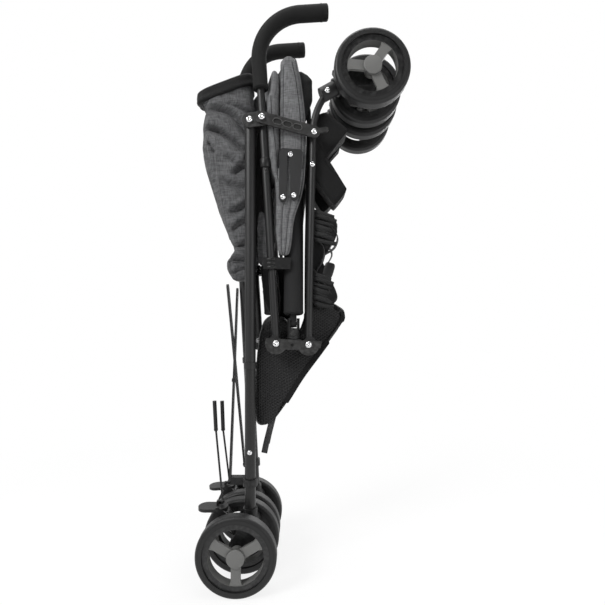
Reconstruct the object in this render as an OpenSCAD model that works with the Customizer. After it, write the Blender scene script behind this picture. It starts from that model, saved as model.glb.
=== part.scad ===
// Umbrella stroller, folded and standing on its rear wheels.
// +X is the front, +Z is up. The right side is at -Y and the left side at +Y.
// Side pieces are drawn for the right side and placed on the left by a mirror.

/* [Wheels] */
// Diameter of the rear wheels
rear_wheel_d = 150; // [140:1:156]
// Diameter of the front wheels
front_wheel_d = 140; // [130:1:146]
// Width of every tyre
wheel_w = 26; // [22:1:27]
// Clear width between the twin wheels of a pair
twin_gap = 48; // [46:1:50]
// Thickness of the tyre from tread to rim
tyre_t = 13; // [9:1:16]
// Thickness of the black rim ring
rim_t = 10.5; // [7:0.5:13]
// Width of a spoke at the hub
spoke_w = 18; // [12:1:22]
// Width of a spoke at the rim
spoke_flare = 26; // [20:1:30]
// Diameter of the axles
axle_d = 10; // [8:1:12]
// Radius of the wheel hubs
hub_r = 13; // [10:1:16]

/* [Side frame] */
// Distance of each side frame from the middle plane
side_y = 55; // [54.5:0.5:58]
// Place of the rear leg along the stroller
leg_x = -100; // [-102:0.5:-98]
// Outer diameter of the rear leg
leg_d = 21; // [18:0.5:21]
// Wall of the tubes
tube_wall = 1.6; // [1.2:0.1:2.2]
// Rear axle behind the rear leg
axle_setback = 21; // [18:1:24]
// Height where the upper leg sleeve ends
collar_z = 421; // [400:1:440]
// Height of the push tube pivot
pivot_z = 892; // [886:1:898]
// Push tube pivot in front of the rear leg
pivot_ahead = 24; // [23:0.5:26]
// Diameter of the push tube
push_d = 15; // [13:0.5:15]
// Length of the push tube between its two pivots
push_len = 428.8; // [422:0.5:437]
// Lean of the push tube from upright, in degrees
push_lean = 3.54; // [3:0.1:4]
// Length of the hinge plate between its pivots
hinge_len = 62; // [60:1:66]
// Outer diameter of the front leg
front_d = 13; // [11:0.5:13]
// Straight length of the front leg
front_len = 412; // [400:1:420]
// Lean of the front leg from upright, in degrees
front_lean = 1.25; // [1:0.05:1.5]
// Bend radius of the front leg
front_bend_r = 120; // [110:1:130]
// Bend angle of the front leg, in degrees
front_bend = 40; // [36:1:44]
// Offset of the left side to the rear when folded
left_offset = 44; // [36:1:45]
// Turn of the left hinge plate when folded, in degrees
left_hinge_turn = -3; // [-4:0.5:-2]

/* [Grip] */
// Diameter of the foam grip
grip_d = 29; // [25:0.5:32]
// Radius of the grip bend
grip_bend_r = 86; // [76:1:92]
// Start of the bend above the lower pivot
grip_bend_at = 546; // [537:1:557]
// Lower end of the grip above the lower pivot
grip_start = 492; // [482:1:502]
// Straight length after the bend
grip_end = 50; // [42:1:56]

/* [Front caster] */
// Turn of the front leg from folded to open, in degrees
open_turn = 119; // [117:1:121]
// Front axle below the leg end, when open
caster_drop = 78; // [76:1:82]
// Front axle behind the leg end, when open
caster_trail = 19; // [16:1:21]
// Diameter of the swivel stem
stem_d = 12; // [10:1:13]

/* [Bumper] */
// Diameter of the bumper foam
bumper_d = 38; // [34:1:39]
// Length of each bumper half
bumper_len = 248; // [210:1:250]
// Lean of each half towards the middle when folded, in degrees
bumper_lean = 8; // [7:0.5:9]
// Diameter of the bumper connector
connector_d = 24; // [22:1:25]
// Height of the bumper connector
connector_h = 40; // [38:1:42]
// Diameter of the release button
button_d = 11; // [9:0.5:12]

/* [Soft pieces] */
// Rearmost point of the backrest
backrest_x = -211; // [-214:1:-206]
// Half width of the folded backrest
backrest_y = 44; // [40:0.5:44]
// Half width of the folded basket
basket_y = 39.6; // [34:0.1:39.7]

/* [Clearances] */
// Radial clearance of running pins
run = 0.05; // [0.02:0.01:0.09]
// Clearance between moving plates
gap = 0.4; // [0.3:0.05:0.6]

/* [Hidden] */
$fn = 48;
right = -1;
left = 1;

// Places in the side plane, as [x, z]
pivot_a = [leg_x + pivot_ahead, pivot_z];
pivot_b = pivot_a + push_len * [sin(push_lean), -cos(push_lean)];
pivot_c = pivot_b + hinge_len * [cos(2), -sin(2)];
leg_rivet = [leg_x, pivot_z - 3];
rear_axle = [leg_x - axle_setback, rear_wheel_d / 2];
leg_bend = pivot_c + front_len * [sin(front_lean), cos(front_lean)];
leg_end = leg_bend
    + front_bend_r * (1 - cos(front_bend)) * [cos(front_lean), -sin(front_lean)]
    + front_bend_r * sin(front_bend) * [sin(front_lean), cos(front_lean)];
caster_down = [sin(open_turn), -cos(open_turn)];
caster_back = [-cos(open_turn), -sin(open_turn)];
front_axle = leg_end + caster_drop * caster_down + caster_trail * caster_back;
bumper_hinge = [(pivot_b[0] + pivot_c[0]) / 2 + 2, pivot_b[1] + 38];

// The left side stands back; its legs lean so that the wheels line up with the right ones
rear_reach = norm(rear_axle - pivot_a);
left_a_x = pivot_a[0] - left_offset;
left_rise = rear_axle[1] + sqrt(pow(rear_reach, 2) - pow(rear_axle[0] - left_a_x, 2)) - pivot_a[1];
left_shift = [-left_offset, left_rise];
function heading(v) = atan2(v[0], v[1]);
function turned(v, a) = [v[0] * cos(a) + v[1] * sin(a), v[1] * cos(a) - v[0] * sin(a)];
left_rear_turn = heading(pivot_a + left_shift - rear_axle) - heading(pivot_a - rear_axle);
left_c = pivot_b + left_shift + turned(pivot_c - pivot_b, left_hinge_turn);
front_reach = norm(front_axle - pivot_c);
left_front_axle = [front_axle[0], left_c[1] + sqrt(pow(front_reach, 2) - pow(front_axle[0] - left_c[0], 2))];
left_front_turn = heading(left_front_axle - left_c) - heading(front_axle - pivot_c);

// The folded stroller is centred over the origin
centre_x = -(front_axle[0] + front_wheel_d / 2 + backrest_x) / 2;

// Fits and small sizes
rivet_d = 7;
rivet_head_d = 12;
rivet_head_h = 3;
plate_t = 3;
cheek_gap = 18;
bracket_gap = leg_d + 1;
knuckle_w = cheek_gap - gap;
shoulder_r = 16;
block_w = twin_gap - 4;
latch_t = 4;
bracket_face = bracket_gap / 2 + plate_t;
hinge_face = cheek_gap / 2 + plate_t;
cap_t = 2;
wheel_mid = (twin_gap + wheel_w) / 2;
pedal_pivot = [rear_axle[0] - 25, rear_axle[1] + 61];
link_eye = [pedal_pivot[0] - 8.5, pedal_pivot[1] + 20];
link_y = 5;
lock_stroke = 4;
button_stroke = 2.5;
bar_x = [leg_x - 41, leg_x - 18];
bar_t = 4;
bar_w = 12;
bar_pin_d = 6;
bar_len = 388;
bar_lean = 13.4;
bar_pivot = [43, 196];
stay_arms = [[[-36, 829], [-36.5, 742]], [[-16, 826], [-15, 745]], [[-6, 827], [-13, 747]]];
stay_r = 7.5;
hood_plate_z = [606, 628];
hood_plate_y = side_y + 7;
hood_sleeve_d = push_d + 9;

// Placing: geometry is given for the right side in the side plane
module turn_about(p, a) {
    translate([p[0], 0, p[1]]) rotate([0, a, 0]) translate([-p[0], 0, -p[1]]) children();
}
module centred() { translate([centre_x, 0, 0]) children(); }
module place(side, pivot, shift, turn) {
    centred()
        if (side == right) children();
        else translate([shift[0], 0, shift[1]]) turn_about(pivot, turn) mirror([0, 1, 0]) children();
}
module on_rear(side) { place(side, pivot_a, left_shift, left_rear_turn) children(); }
module on_push(side) { place(side, pivot_a, left_shift, 0) children(); }
module on_hinge(side) { place(side, pivot_b, left_shift, left_hinge_turn) children(); }
module on_front(side) { place(side, pivot_c, left_c - pivot_c, left_front_turn) children(); }

// A plate in the side plane: y0 and y1 count outwards from the frame's own plane
module plate(y0, y1) {
    translate([0, -side_y - y0, 0]) rotate([90, 0, 0]) linear_extrude(y1 - y0) children();
}
module pin(p, d, y0, y1) { plate(y0, y1) translate(p) circle(d = d); }
// The straight edges lie just inside the round ends, so that they cross the arcs
module capsule(p, q, r) {
    waist = 0.99 * r;
    translate(p) circle(r);
    translate(q) circle(r);
    translate(p) rotate(atan2(q[1] - p[1], q[0] - p[0])) translate([0, -waist]) square([norm(q - p), 2 * waist]);
}
module rod(p, q, d) {
    v = q - p;
    translate(p) rotate([0, acos(v[2] / norm(v)), atan2(v[1], v[0])]) cylinder(d = d, h = norm(v));
}
// Upright things at a place in the side plane, tilted clockwise by a
module at_side(p, a = 0) { translate([p[0], -side_y, p[1]]) rotate([0, a, 0]) children(); }
module tube(d, h, wall = tube_wall) {
    difference() {
        cylinder(d = d, h = h);
        translate([0, 0, -1]) cylinder(d = d - 2 * wall, h = h + 2);
    }
}
// Closed skin through rings of points, each cap a fan about its middle
function middle(r) = [for (k = [0:2]) let (s = [for (p = r) p[k]]) s * [for (p = r) 1] / len(r)];
module loft(rings) {
    n = len(rings);
    m = len(rings[0]);
    points = concat([for (r = rings) each r], [middle(rings[0]), middle(rings[n - 1])]);
    sides = [for (i = [0:n - 2], j = [0:m - 1]) let (k = (j + 1) % m)
        each [[i * m + j, i * m + k, (i + 1) * m + k], [i * m + j, (i + 1) * m + k, (i + 1) * m + j]]];
    low = [for (j = [0:m - 1]) [(j + 1) % m, j, n * m]];
    high = [for (j = [0:m - 1]) [(n - 1) * m + j, (n - 1) * m + (j + 1) % m, n * m + 1]];
    polyhedron(points, concat(sides, low, high), convexity = 8);
}
function power(v, p) = sign(v) * pow(abs(v), p);

// Rear leg
module rear_leg_upper(side) {
    color("#161617") on_rear(side) difference() {
        union() {
            at_side([leg_x, collar_z]) tube(leg_d, pivot_z + 5 - collar_z);
            at_side([leg_x, collar_z - 6]) difference() {
                cylinder(d = leg_d + 4, h = 12);
                translate([0, 0, -1]) cylinder(d = leg_d - 2 * tube_wall, h = 14);
                translate([0, 0, -1]) cylinder(d = leg_d, h = 7);
            }
        }
        pin(leg_rivet, rivet_d, -leg_d, leg_d);
    }
}
module rear_leg_lower(side) {
    color("#3a3a3c") on_rear(side) at_side([leg_x, rear_axle[1] + 25])
        tube(leg_d, collar_z - rear_axle[1] - 25);
}
module rear_housing(side) {
    lug_w = 20;
    bar_face = (side == right ? bar_x[0] : bar_x[1]) + bar_t / 2 + gap;
    color("#111112") on_rear(side) difference() {
        union() {
            plate(-block_w / 2, block_w / 2) capsule(rear_axle, [leg_x, rear_axle[1] + 40], 19);
            plate(-lug_w / 2, lug_w / 2) capsule(rear_axle + [0, 20], pedal_pivot, 7);
            at_side([leg_x, rear_axle[1] + 40]) cylinder(d = leg_d + 7, h = 32);
            at_side([leg_x, bar_pivot[1] - 7]) cylinder(d = leg_d + 7, h = 14);
            translate([bar_face, -bar_pivot[0] - 9, bar_pivot[1] - 7]) cube([leg_x - bar_face, 15, 14]);
            translate([bar_face - bar_t - 2, -bar_pivot[0], bar_pivot[1]]) rotate([0, 90, 0])
                cylinder(d = bar_pin_d, h = bar_t + 6);
        }
        pin(rear_axle, axle_d + 2 * run, -block_w, block_w);
        pin(pedal_pivot, rivet_d + 2 * run, -lug_w, lug_w);
        at_side([leg_x, rear_axle[1] + 25]) cylinder(d = leg_d, h = 200);
    }
}

// Twin wheels, both on one axle that turns in its housing
module wheel_pair(axle) {
    for (out = [-1, 1]) translate([axle[0], -side_y - out * wheel_mid, axle[1]])
        rotate([90, 0, 0]) mirror([0, 0, out > 0 ? 0 : 1]) children();
}
module tyre_ring(d) {
    r = d / 2;
    c = 6;
    rotate_extrude() {
        translate([r - tyre_t, -wheel_w / 2]) square([tyre_t - c, wheel_w]);
        translate([r - tyre_t, -wheel_w / 2 + c]) square([tyre_t, wheel_w - 2 * c]);
        for (z = [-1, 1]) translate([r - c, z * (wheel_w / 2 - c)]) circle(c);
    }
}
module rim_ring(d, turn) {
    r = d / 2 - tyre_t;
    inner = r - rim_t;
    face = wheel_w / 2 - 3;
    difference() {
        union() {
            rotate_extrude() {
                translate([inner, -face]) square([rim_t, 2 * face]);
                translate([0, -face]) square([hub_r, 2 * face + 2]);
            }
            for (i = [0:2]) rotate(turn + 120 * i) translate([0, 0, face - 7]) linear_extrude(6)
                polygon([[0, -spoke_w / 2], [inner - 8, -spoke_w / 2], [inner + 2, -spoke_flare / 2],
                    [inner + 2, spoke_flare / 2], [inner - 8, spoke_w / 2], [0, spoke_w / 2]]);
        }
        translate([0, 0, -wheel_w]) cylinder(d = axle_d, h = 2 * wheel_w);
    }
}
module axle_rod(axle) {
    reach = wheel_mid + wheel_w / 2 - 1;
    pin(axle, axle_d, -reach, reach);
    for (y = [-reach - cap_t, reach]) pin(axle, hub_r + 3, y, y + cap_t);
}
module rear_axle_rod(side) { color("#8a8a8c") on_rear(side) axle_rod(rear_axle); }
module rear_rims(side) { color("#6f6f70") on_rear(side) wheel_pair(rear_axle) rim_ring(rear_wheel_d, 30); }
module rear_tyres(side) { color("#1b1b1c") on_rear(side) wheel_pair(rear_axle) tyre_ring(rear_wheel_d); }
module front_axle_rod(side) { color("#8a8a8c") on_front(side) axle_rod(front_axle); }
module front_rims(side) { color("#6f6f70") on_front(side) wheel_pair(front_axle) rim_ring(front_wheel_d, 55); }
module front_tyres(side) { color("#1b1b1c") on_front(side) wheel_pair(front_axle) tyre_ring(front_wheel_d); }

// Brake
module brake_pedal(side) {
    ear_in = 10 + gap;
    color("#161617") on_rear(side) {
        pin(pedal_pivot, rivet_d, -ear_in - 5, ear_in + 5);
        for (y = [-ear_in - 5, ear_in]) plate(y, y + 5) capsule(pedal_pivot, pedal_pivot + [-14, 11], 6);
        translate([pedal_pivot[0] - 12, -side_y, pedal_pivot[1] + 8]) linear_extrude(6)
            capsule([-25, 0], [-2, 0], 17);
        translate([link_eye[0] - 9, -side_y + link_y, pedal_pivot[1] + 10]) {
            translate([-2, -4, 0]) cube([4, 8, link_eye[1] - pedal_pivot[1] - 8]);
            translate([0, 0, link_eye[1] - pedal_pivot[1] - 10]) rotate([0, 90, 0]) cylinder(d = 4, h = 13);
        }
    }
}
module brake_link(side) {
    eye = [link_eye[0], -side_y + link_y, link_eye[1]];
    knee = [side == right ? -177 : -153, -link_y, 284];
    top = [side == right ? -180 : -152, -link_y, 343];
    color("#1d1d1e") on_rear(side) difference() {
        union() {
            translate(eye - [2, 0, 0]) rotate([0, 90, 0]) cylinder(d = 9, h = 4);
            rod(eye + [0, 0, 3], knee, 4);
            translate(knee) sphere(d = 8.6);
            rod(knee, top, 8);
        }
        translate(eye - [9, 0, 0]) rotate([0, 90, 0]) cylinder(d = 4 + 2 * run, h = 18);
    }
}

// Top bracket, which carries the push tube pivot
module leg_bracket(side) {
    color("#222223") on_rear(side) difference() {
        union() {
            for (y = [-bracket_face, bracket_gap / 2]) plate(y, y + plate_t) capsule(leg_rivet, pivot_a, 14);
        }
        pin(leg_rivet, rivet_d, -2 * leg_d, 2 * leg_d);
        pin(pivot_a, rivet_d, -2 * leg_d, 2 * leg_d);
    }
}
module rivet(p, y0, y1) {
    pin(p, rivet_d, y0, y1);
    pin(p, rivet_head_d, y0 - rivet_head_h, y0);
    pin(p, rivet_head_d, y1, y1 + rivet_head_h);
}
module frame_rivets(side) {
    latch_room = side == right ? latch_t + 2 * gap : 0;
    color("#d8d8d8") on_rear(side) {
        rivet(leg_rivet, -bracket_face, bracket_face);
        rivet(pivot_a, -bracket_face, bracket_face + latch_room);
    }
}

// Push tube and grip, along the tube from the lower pivot
module along_push() { at_side(pivot_b, -push_lean) children(); }
module grip_bend(d) {
    translate([grip_bend_r, 0, grip_bend_at]) rotate([90, 0, 0]) rotate([0, 0, 90])
        rotate_extrude(angle = 90) translate([grip_bend_r, 0]) circle(d = d);
}
module grip_tail(d, from, to) {
    translate([grip_bend_r + from, 0, grip_bend_at + grip_bend_r]) rotate([0, 90, 0]) cylinder(d = d, h = to - from);
}
module push_tube(side) {
    color("#1a1a1b") on_push(side) difference() {
        union() {
            along_push() {
                cylinder(d = push_d, h = grip_bend_at);
                grip_bend(push_d);
                grip_tail(push_d, 0, grip_end - 6);
            }
            plate(-knuckle_w / 2, knuckle_w / 2) {
                translate(pivot_b) circle(12);
                intersection() {
                    translate(pivot_b) circle(shoulder_r);
                    translate(pivot_b + [-shoulder_r, 0]) square(shoulder_r);
                }
            }
        }
        pin(pivot_b, rivet_d + 2 * run, -leg_d, leg_d);
        pin(pivot_a, rivet_d + 2 * run, -leg_d, leg_d);
    }
}
module grip(side) {
    color("#202021") on_push(side) along_push() difference() {
        union() {
            translate([0, 0, grip_start]) cylinder(d = grip_d, h = grip_bend_at - grip_start);
            grip_bend(grip_d);
            grip_tail(grip_d, 0, grip_end);
        }
        translate([0, 0, grip_start - 1]) cylinder(d = push_d + 2 * run, h = grip_bend_at - grip_start + 1);
        grip_bend(push_d + 2 * run);
        grip_tail(push_d + 2 * run, 0, grip_end - 6 + run);
    }
}

// Hinge plate between the push tube and the front leg
module cheek_outline() {
    rim = [pivot_b + [-20, 10], pivot_c + [25, 6]];
    difference() {
        union() {
            translate(pivot_b) circle(21);
            translate(pivot_c) circle(21);
            polygon([rim[0], rim[1], rim[1] - [2, 13], pivot_c - [0, 11], pivot_b - [0, 11], rim[0] - [-3, 16]]);
        }
        polygon([rim[0] - [30, 0], rim[0], rim[1], rim[1] + [30, 0], rim[1] + [30, 40], rim[0] + [-30, 40]]);
        translate((pivot_b + pivot_c) / 2 + [0, -2]) circle(3);
    }
}
module hinge_plate(side) {
    web = [(pivot_b[0] + pivot_c[0]) / 2, pivot_b[1]];
    color("#1e1e1f") on_hinge(side) difference() {
        union() {
            for (y = [-hinge_face, cheek_gap / 2]) plate(y, y + plate_t) cheek_outline();
            plate(-cheek_gap / 2, cheek_gap / 2) translate(web + [-12, -8]) square([28, 16]);
        }
        pin(pivot_b, rivet_d, -2 * leg_d, 2 * leg_d);
        pin(pivot_c, rivet_d, -2 * leg_d, 2 * leg_d);
    }
}
module hinge_rivets(side) {
    color("#d8d8d8") on_hinge(side) for (p = [pivot_b, pivot_c]) rivet(p, -hinge_face, hinge_face);
}

// Front leg, with the block that holds the caster's stem
module along_front() { at_side(pivot_c, front_lean) children(); }
module along_caster(p) { at_side(p, 180 - open_turn) children(); }
module front_leg(side) {
    color("#1a1a1b") on_front(side) difference() {
        union() {
            along_front() cylinder(d = front_d, h = front_len);
            along_front() translate([front_bend_r, 0, front_len]) rotate([90, 0, 0]) rotate([0, 0, 180 - front_bend])
                rotate_extrude(angle = front_bend) translate([front_bend_r, 0]) circle(d = front_d);
            plate(-knuckle_w / 2, knuckle_w / 2) {
                translate(pivot_c) circle(12);
                intersection() {
                    translate(pivot_c) circle(shoulder_r);
                    translate(pivot_c) square(shoulder_r);
                }
            }
            along_caster(leg_end) translate([0, 0, -16]) cylinder(d = 28, h = 30);
        }
        pin(pivot_c, rivet_d + 2 * run, -leg_d, leg_d);
        along_caster(leg_end) translate([0, 0, -12]) cylinder(d = stem_d + 2 * run, h = 40);
    }
}
module caster_housing(side) {
    top = leg_end + (14 + gap) * caster_down;
    color("#111112") on_front(side) difference() {
        union() {
            along_caster(leg_end) translate([0, 0, -11]) cylinder(d = stem_d, h = 40);
            along_caster(leg_end) translate([0, 0, 14 + gap]) cylinder(d = 34, h = 26);
            plate(-block_w / 2, block_w / 2) difference() {
                capsule(top + 22 * caster_down, front_axle, 20);
                translate(top) rotate(atan2(caster_down[1], caster_down[0])) translate([-60, -60]) square([60, 120]);
            }
        }
        pin(front_axle, axle_d + 2 * run, -block_w, block_w);
        lock_pocket(lock_stroke + gap, gap);
    }
}
// Swivel lock, a tab that slides out of the housing's side
module lock_pocket(deep, room) {
    along_caster(leg_end) translate([-17 - 12, -6 - room, 24 - room]) cube([20 + deep, 12 + 2 * room, 8 + 2 * room]);
}
module swivel_lock(side) { color("#161617") on_front(side) lock_pocket(0, 0); }

// Fold latch on the right side, beside the front leg's own rivet
module fold_latch() {
    face = bracket_face + gap;
    tip = leg_bend + [1.8, -9];
    color("#1b1b1c") centred() difference() {
        plate(face, face + latch_t) {
            capsule(pivot_a, tip, 11);
            capsule(tip, tip + [22, 4], 5);
        }
        pin(pivot_a, rivet_d + 2 * run, 0, 2 * leg_d);
        for (i = [0:2]) plate(face + latch_t - 1.5, face + latch_t + 1)
            let (at = pivot_a + (tip - pivot_a) * (0.3 + 0.19 * i), along = (tip - pivot_a) / norm(tip - pivot_a))
                capsule(at - 3.5 * along, at + 3.5 * along, 5);
    }
}

// Bumper: each half swings on the pin in its connector
module along_bumper() {
    at_side(bumper_hinge) rotate([-bumper_lean, 0, 0]) children();
}
module bumper_bar(side) {
    color("#242425") on_hinge(side) along_bumper() difference() {
        union() {
            translate([-6, 0, 0]) rotate([0, 90, 0]) cylinder(d = 15, h = 12);
            translate([-6, -6, 0]) cube([12, 12, 24]);
            translate([0, 0, 20]) cylinder(d = bumper_d, h = bumper_len);
        }
        translate([-10, 0, 0]) rotate([0, 90, 0]) cylinder(d = 6 + 2 * run, h = 20);
    }
}
module bumper_connector(side) {
    base = bumper_hinge[1] - connector_h + 10;
    color("#161617") on_hinge(side) {
        difference() {
            at_side([bumper_hinge[0], base]) cylinder(d = connector_d, h = connector_h);
            at_side(bumper_hinge) translate([-6 - gap, -20, -9]) cube([12 + 2 * gap, 40, 30]);
            button_at() cylinder(d = button_d + 2 * gap, h = 8);
        }
        at_side(bumper_hinge) translate([-9, 0, 0]) rotate([0, 90, 0]) cylinder(d = 6, h = 18);
    }
}
module button_at() {
    at_side(bumper_hinge - [0, 18]) translate([0, -connector_d / 2 + 5, 0]) rotate([90, 0, 0]) children();
}
module bumper_button(side) {
    color("#2a2a2b") on_hinge(side) button_at() translate([0, 0, button_stroke + gap]) cylinder(d = button_d, h = 3.5);
}

// Rear cross bars, each hinged low on its own leg and leaning to the other side
module cross_bar(side) {
    x = side == right ? bar_x[0] : bar_x[1];
    color("#2b2b2c") on_rear(side) translate([x, -bar_pivot[0], bar_pivot[1]]) rotate([-bar_lean, 0, 0]) difference() {
        union() {
            rotate([90, 0, 90]) translate([0, 0, -bar_t / 2]) linear_extrude(bar_t)
                capsule([0, 0], [0, bar_len], bar_w / 2);
            translate([-bar_t, 0, bar_len / 2]) rotate([0, 90, 0]) cylinder(d = 8, h = bar_t);
        }
        translate([-20, 0, 0]) rotate([0, 90, 0]) cylinder(d = bar_pin_d + 2 * run, h = 40);
    }
}

// Hood fittings on the push tube
module hood_bracket(side) {
    mid = (hood_plate_z[0] + hood_plate_z[1]) / 2;
    at = pivot_b + (mid - pivot_b[1]) * [-tan(push_lean), 1];
    color("#19191a") on_push(side) difference() {
        union() {
            at_side(at, -push_lean) translate([0, 0, -11]) cylinder(d = hood_sleeve_d, h = 22);
            plate(hood_plate_y - side_y, hood_plate_y - side_y + 4)
                translate([-74, hood_plate_z[0]]) square([52, hood_plate_z[1] - hood_plate_z[0]]);
        }
        along_push() cylinder(d = push_d, h = grip_bend_at);
    }
}
module hood_stay(side) {
    color("#2c2c2d") on_push(side) plate(hood_plate_y - side_y, hood_plate_y - side_y + 4) {
        for (arm = stay_arms) capsule(arm[0], arm[1], stay_r);
        capsule(stay_arms[0][0], stay_arms[2][0], stay_r);
    }
}

// Soft pieces: closed skins with their main folds
function cut_corners(p) = let (m = len(p)) [for (i = [0:m - 1]) let (q = p[(i + 1) % m])
    each [0.75 * p[i] + 0.25 * q, 0.25 * p[i] + 0.75 * q]];
function centre_of(p) = let (s = [for (v = p) 1]) [for (k = [0:1]) [for (v = p) v[k]] * s / len(p)];
// Outline in the side plane, drawn in towards both ends and rippled along its edge
module bundle(outline, y0, y1, draw, ripple, waves) {
    steps = 8;
    edge = cut_corners(cut_corners(outline));
    c = centre_of(edge);
    m = len(edge);
    loft([for (i = [0:steps]) let (t = i / steps, s = 1 - draw * pow(abs(2 * t - 1), 4))
        [for (j = [0:m - 1])
            let (r = s + ripple * sin(360 * waves * j / m + 50 * i), v = c + r * (edge[j] - c))
                [v[0], y0 + t * (y1 - y0), v[1]]]]);
}
backrest_left = [[590, -140], [606, -150], [628, -152], [650, -140], [674, -146], [713, -161], [764, -177],
    [814, -193], [859, -203], [898, -202], [932, -194], [957, backrest_x]];
backrest_right = [[590, -112], [612, -87], [740, -87], [770, -93], [900, -93], [940, -99], [957, -99]];
backrest_wide = [[590, 0.6], [640, 0.95], [700, 1], [850, 1], [880, 0.84], [957, 0.8]];
module backrest() {
    rings = 20;
    around = 32;
    low = 590;
    high = 957;
    flap_slope = 0.38;
    left_half_x = -102;
    color("#4b4b4d") centred() loft([for (i = [0:rings]) let (z = low + (high - low) * i / rings)
        [for (j = [0:around - 1]) let (
            a = 360 * j / around,
            y = backrest_y * lookup(z, backrest_wide) * power(sin(a), 0.6),
            x0 = lookup(z, backrest_left),
            share = max(0, min(1, (12 - y) / 8)),
            x1 = lookup(z, backrest_right) * (1 - share) + max(left_half_x, x0 + 40) * share,
            fold = 2.5 * sin(9 * z / 4 + 3 * a) * abs(sin(a)),
            x = (x0 + x1) / 2 - (x1 - x0) / 2 * power(cos(a), 0.6),
            lift = flap_slope * (x - x0) * max(0, (i - rings + 3) / 3))
            [x + (cos(a) > 0 ? 0 : -1), -y + (y > 0 ? 1 : -1) * max(0, fold - 1), z + lift]]]);
}
hood_left = [[632, -43], [700, -50], [860, -52], [1010, -54]];
hood_right = [[632, -37], [772, -37.5], [792, -6], [820, 2], [900, 6], [980, 5], [1010, -12]];
hood_far = [[632, -8], [780, -8], [800, hood_plate_y - gap]];
// The hood spans both push tubes, so it slants back to the left with them
function slant(y) = -left_offset * max(0, min(1, (y + side_y) / (2 * side_y)));
module hood() {
    rings = 18;
    face = 24;
    low = hood_plate_z[1] + 2 * gap;
    high = 1010;
    near_y = hood_plate_y - gap;
    pleats = 3;
    color("#4b4b4d") centred() loft([for (i = [0:rings]) let (
        z = low + (high - low) * i / rings,
        x0 = lookup(z, hood_left),
        x1 = lookup(z, hood_right),
        far_y = lookup(z, hood_far),
        deep = min(6, (x1 - x0) / 6))
        concat(
            [for (j = [0:face]) let (t = j / face)
                [x0 + (x1 - x0) * t, -near_y + deep * abs(cos(180 * pleats * t)), z]],
            [for (j = [0:face]) let (t = 1 - j / face)
                [x0 + (x1 - x0) * t + slant(far_y), far_y - deep * abs(cos(180 * pleats * t)), z]])]);
}
module seat() {
    color("#141415") centred() bundle([[-81, 626], [-62, 628], [-44, 596], [-41, 522], [-52, 502], [-64, 516],
        [-82, 566]], hood_sleeve_d / 2 + gap - side_y, -3, 0.12, 0.03, 5);
}
module basket() {
    color("#0e0e0f") centred() bundle([[-86, 458], [-10, 484], [56, 516], [70, 526], [68, 510], [54, 466],
        [-50, 316], [-66, 298], [-84, 296], [-88, 330]], -basket_y, basket_y, 0.1, 0.006, 6);
}
// Cloth on the front leg: each point's height is a share of the leg's straight length above its pivot
function up_leg(edge) = [for (p = edge) [p[0], pivot_c[1] + p[1] * front_len]];
leg_rest_edge = [[20, 1.0756], [46, 1.1023], [92, 1.0149], [40, 0.879], [90, 0.7333], [64, 0.6508],
    [20, 0.7964]];
module leg_rest(side) {
    color("#121213") on_front(side)
        bundle(up_leg(leg_rest_edge), -side_y + front_d / 2 + gap, -4, 0.04, 0.01, 4);
}
harness_edge = [[12, 0.6435], [58, 0.6362], [74, 0.5828], [70, 0.51], [50, 0.4566], [38, 0.3838],
    [52, 0.3013], [76, 0.2188], [60, 0.1751], [12, 0.1508]];
module harness() {
    color("#19191a") centred() bundle(up_leg(harness_edge), -side_y + front_d / 2 + gap, -6, 0.1, 0.02, 9);
}

rear_leg_upper(right);  // rear_leg_upper_right
rear_leg_upper(left);  // rear_leg_upper_left
rear_leg_lower(right);  // rear_leg_lower_right
rear_leg_lower(left);  // rear_leg_lower_left
rear_housing(right);  // rear_housing_right
rear_housing(left);  // rear_housing_left
rear_axle_rod(right);  // rear_axle_right
rear_axle_rod(left);  // rear_axle_left
rear_rims(right);  // rear_rims_right
rear_rims(left);  // rear_rims_left
rear_tyres(right);  // rear_tyres_right
rear_tyres(left);  // rear_tyres_left
brake_pedal(right);  // brake_pedal_right
brake_pedal(left);  // brake_pedal_left
brake_link(right);  // brake_link_right
brake_link(left);  // brake_link_left
leg_bracket(right);  // leg_bracket_right
leg_bracket(left);  // leg_bracket_left
frame_rivets(right);  // frame_rivets_right
frame_rivets(left);  // frame_rivets_left
push_tube(right);  // push_tube_right
push_tube(left);  // push_tube_left
grip(right);  // grip_right
grip(left);  // grip_left
hinge_plate(right);  // hinge_plate_right
hinge_plate(left);  // hinge_plate_left
hinge_rivets(right);  // hinge_rivets_right
hinge_rivets(left);  // hinge_rivets_left
front_leg(right);  // front_leg_right
front_leg(left);  // front_leg_left
caster_housing(right);  // caster_housing_right
caster_housing(left);  // caster_housing_left
swivel_lock(right);  // swivel_lock_right
swivel_lock(left);  // swivel_lock_left
front_axle_rod(right);  // front_axle_right
front_axle_rod(left);  // front_axle_left
front_rims(right);  // front_rims_right
front_rims(left);  // front_rims_left
front_tyres(right);  // front_tyres_right
front_tyres(left);  // front_tyres_left
fold_latch();
bumper_bar(right);  // bumper_bar_right
bumper_bar(left);  // bumper_bar_left
bumper_connector(right);  // bumper_connector_right
bumper_connector(left);  // bumper_connector_left
bumper_button(right);  // bumper_button_right
bumper_button(left);  // bumper_button_left
cross_bar(right);  // cross_bar_right
cross_bar(left);  // cross_bar_left
hood_bracket(right);  // hood_bracket_right
hood_bracket(left);  // hood_bracket_left
hood_stay(right);  // hood_stay_right
hood_stay(left);  // hood_stay_left
hood();
backrest();
seat();
basket();
leg_rest(right);  // leg_rest_right
leg_rest(left);  // leg_rest_left
harness();
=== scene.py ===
"""Looks of a folded umbrella stroller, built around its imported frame."""
import logging
import math
from dataclasses import dataclass, field
from enum import Enum
from typing import Callable, Iterable, Sequence

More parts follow.
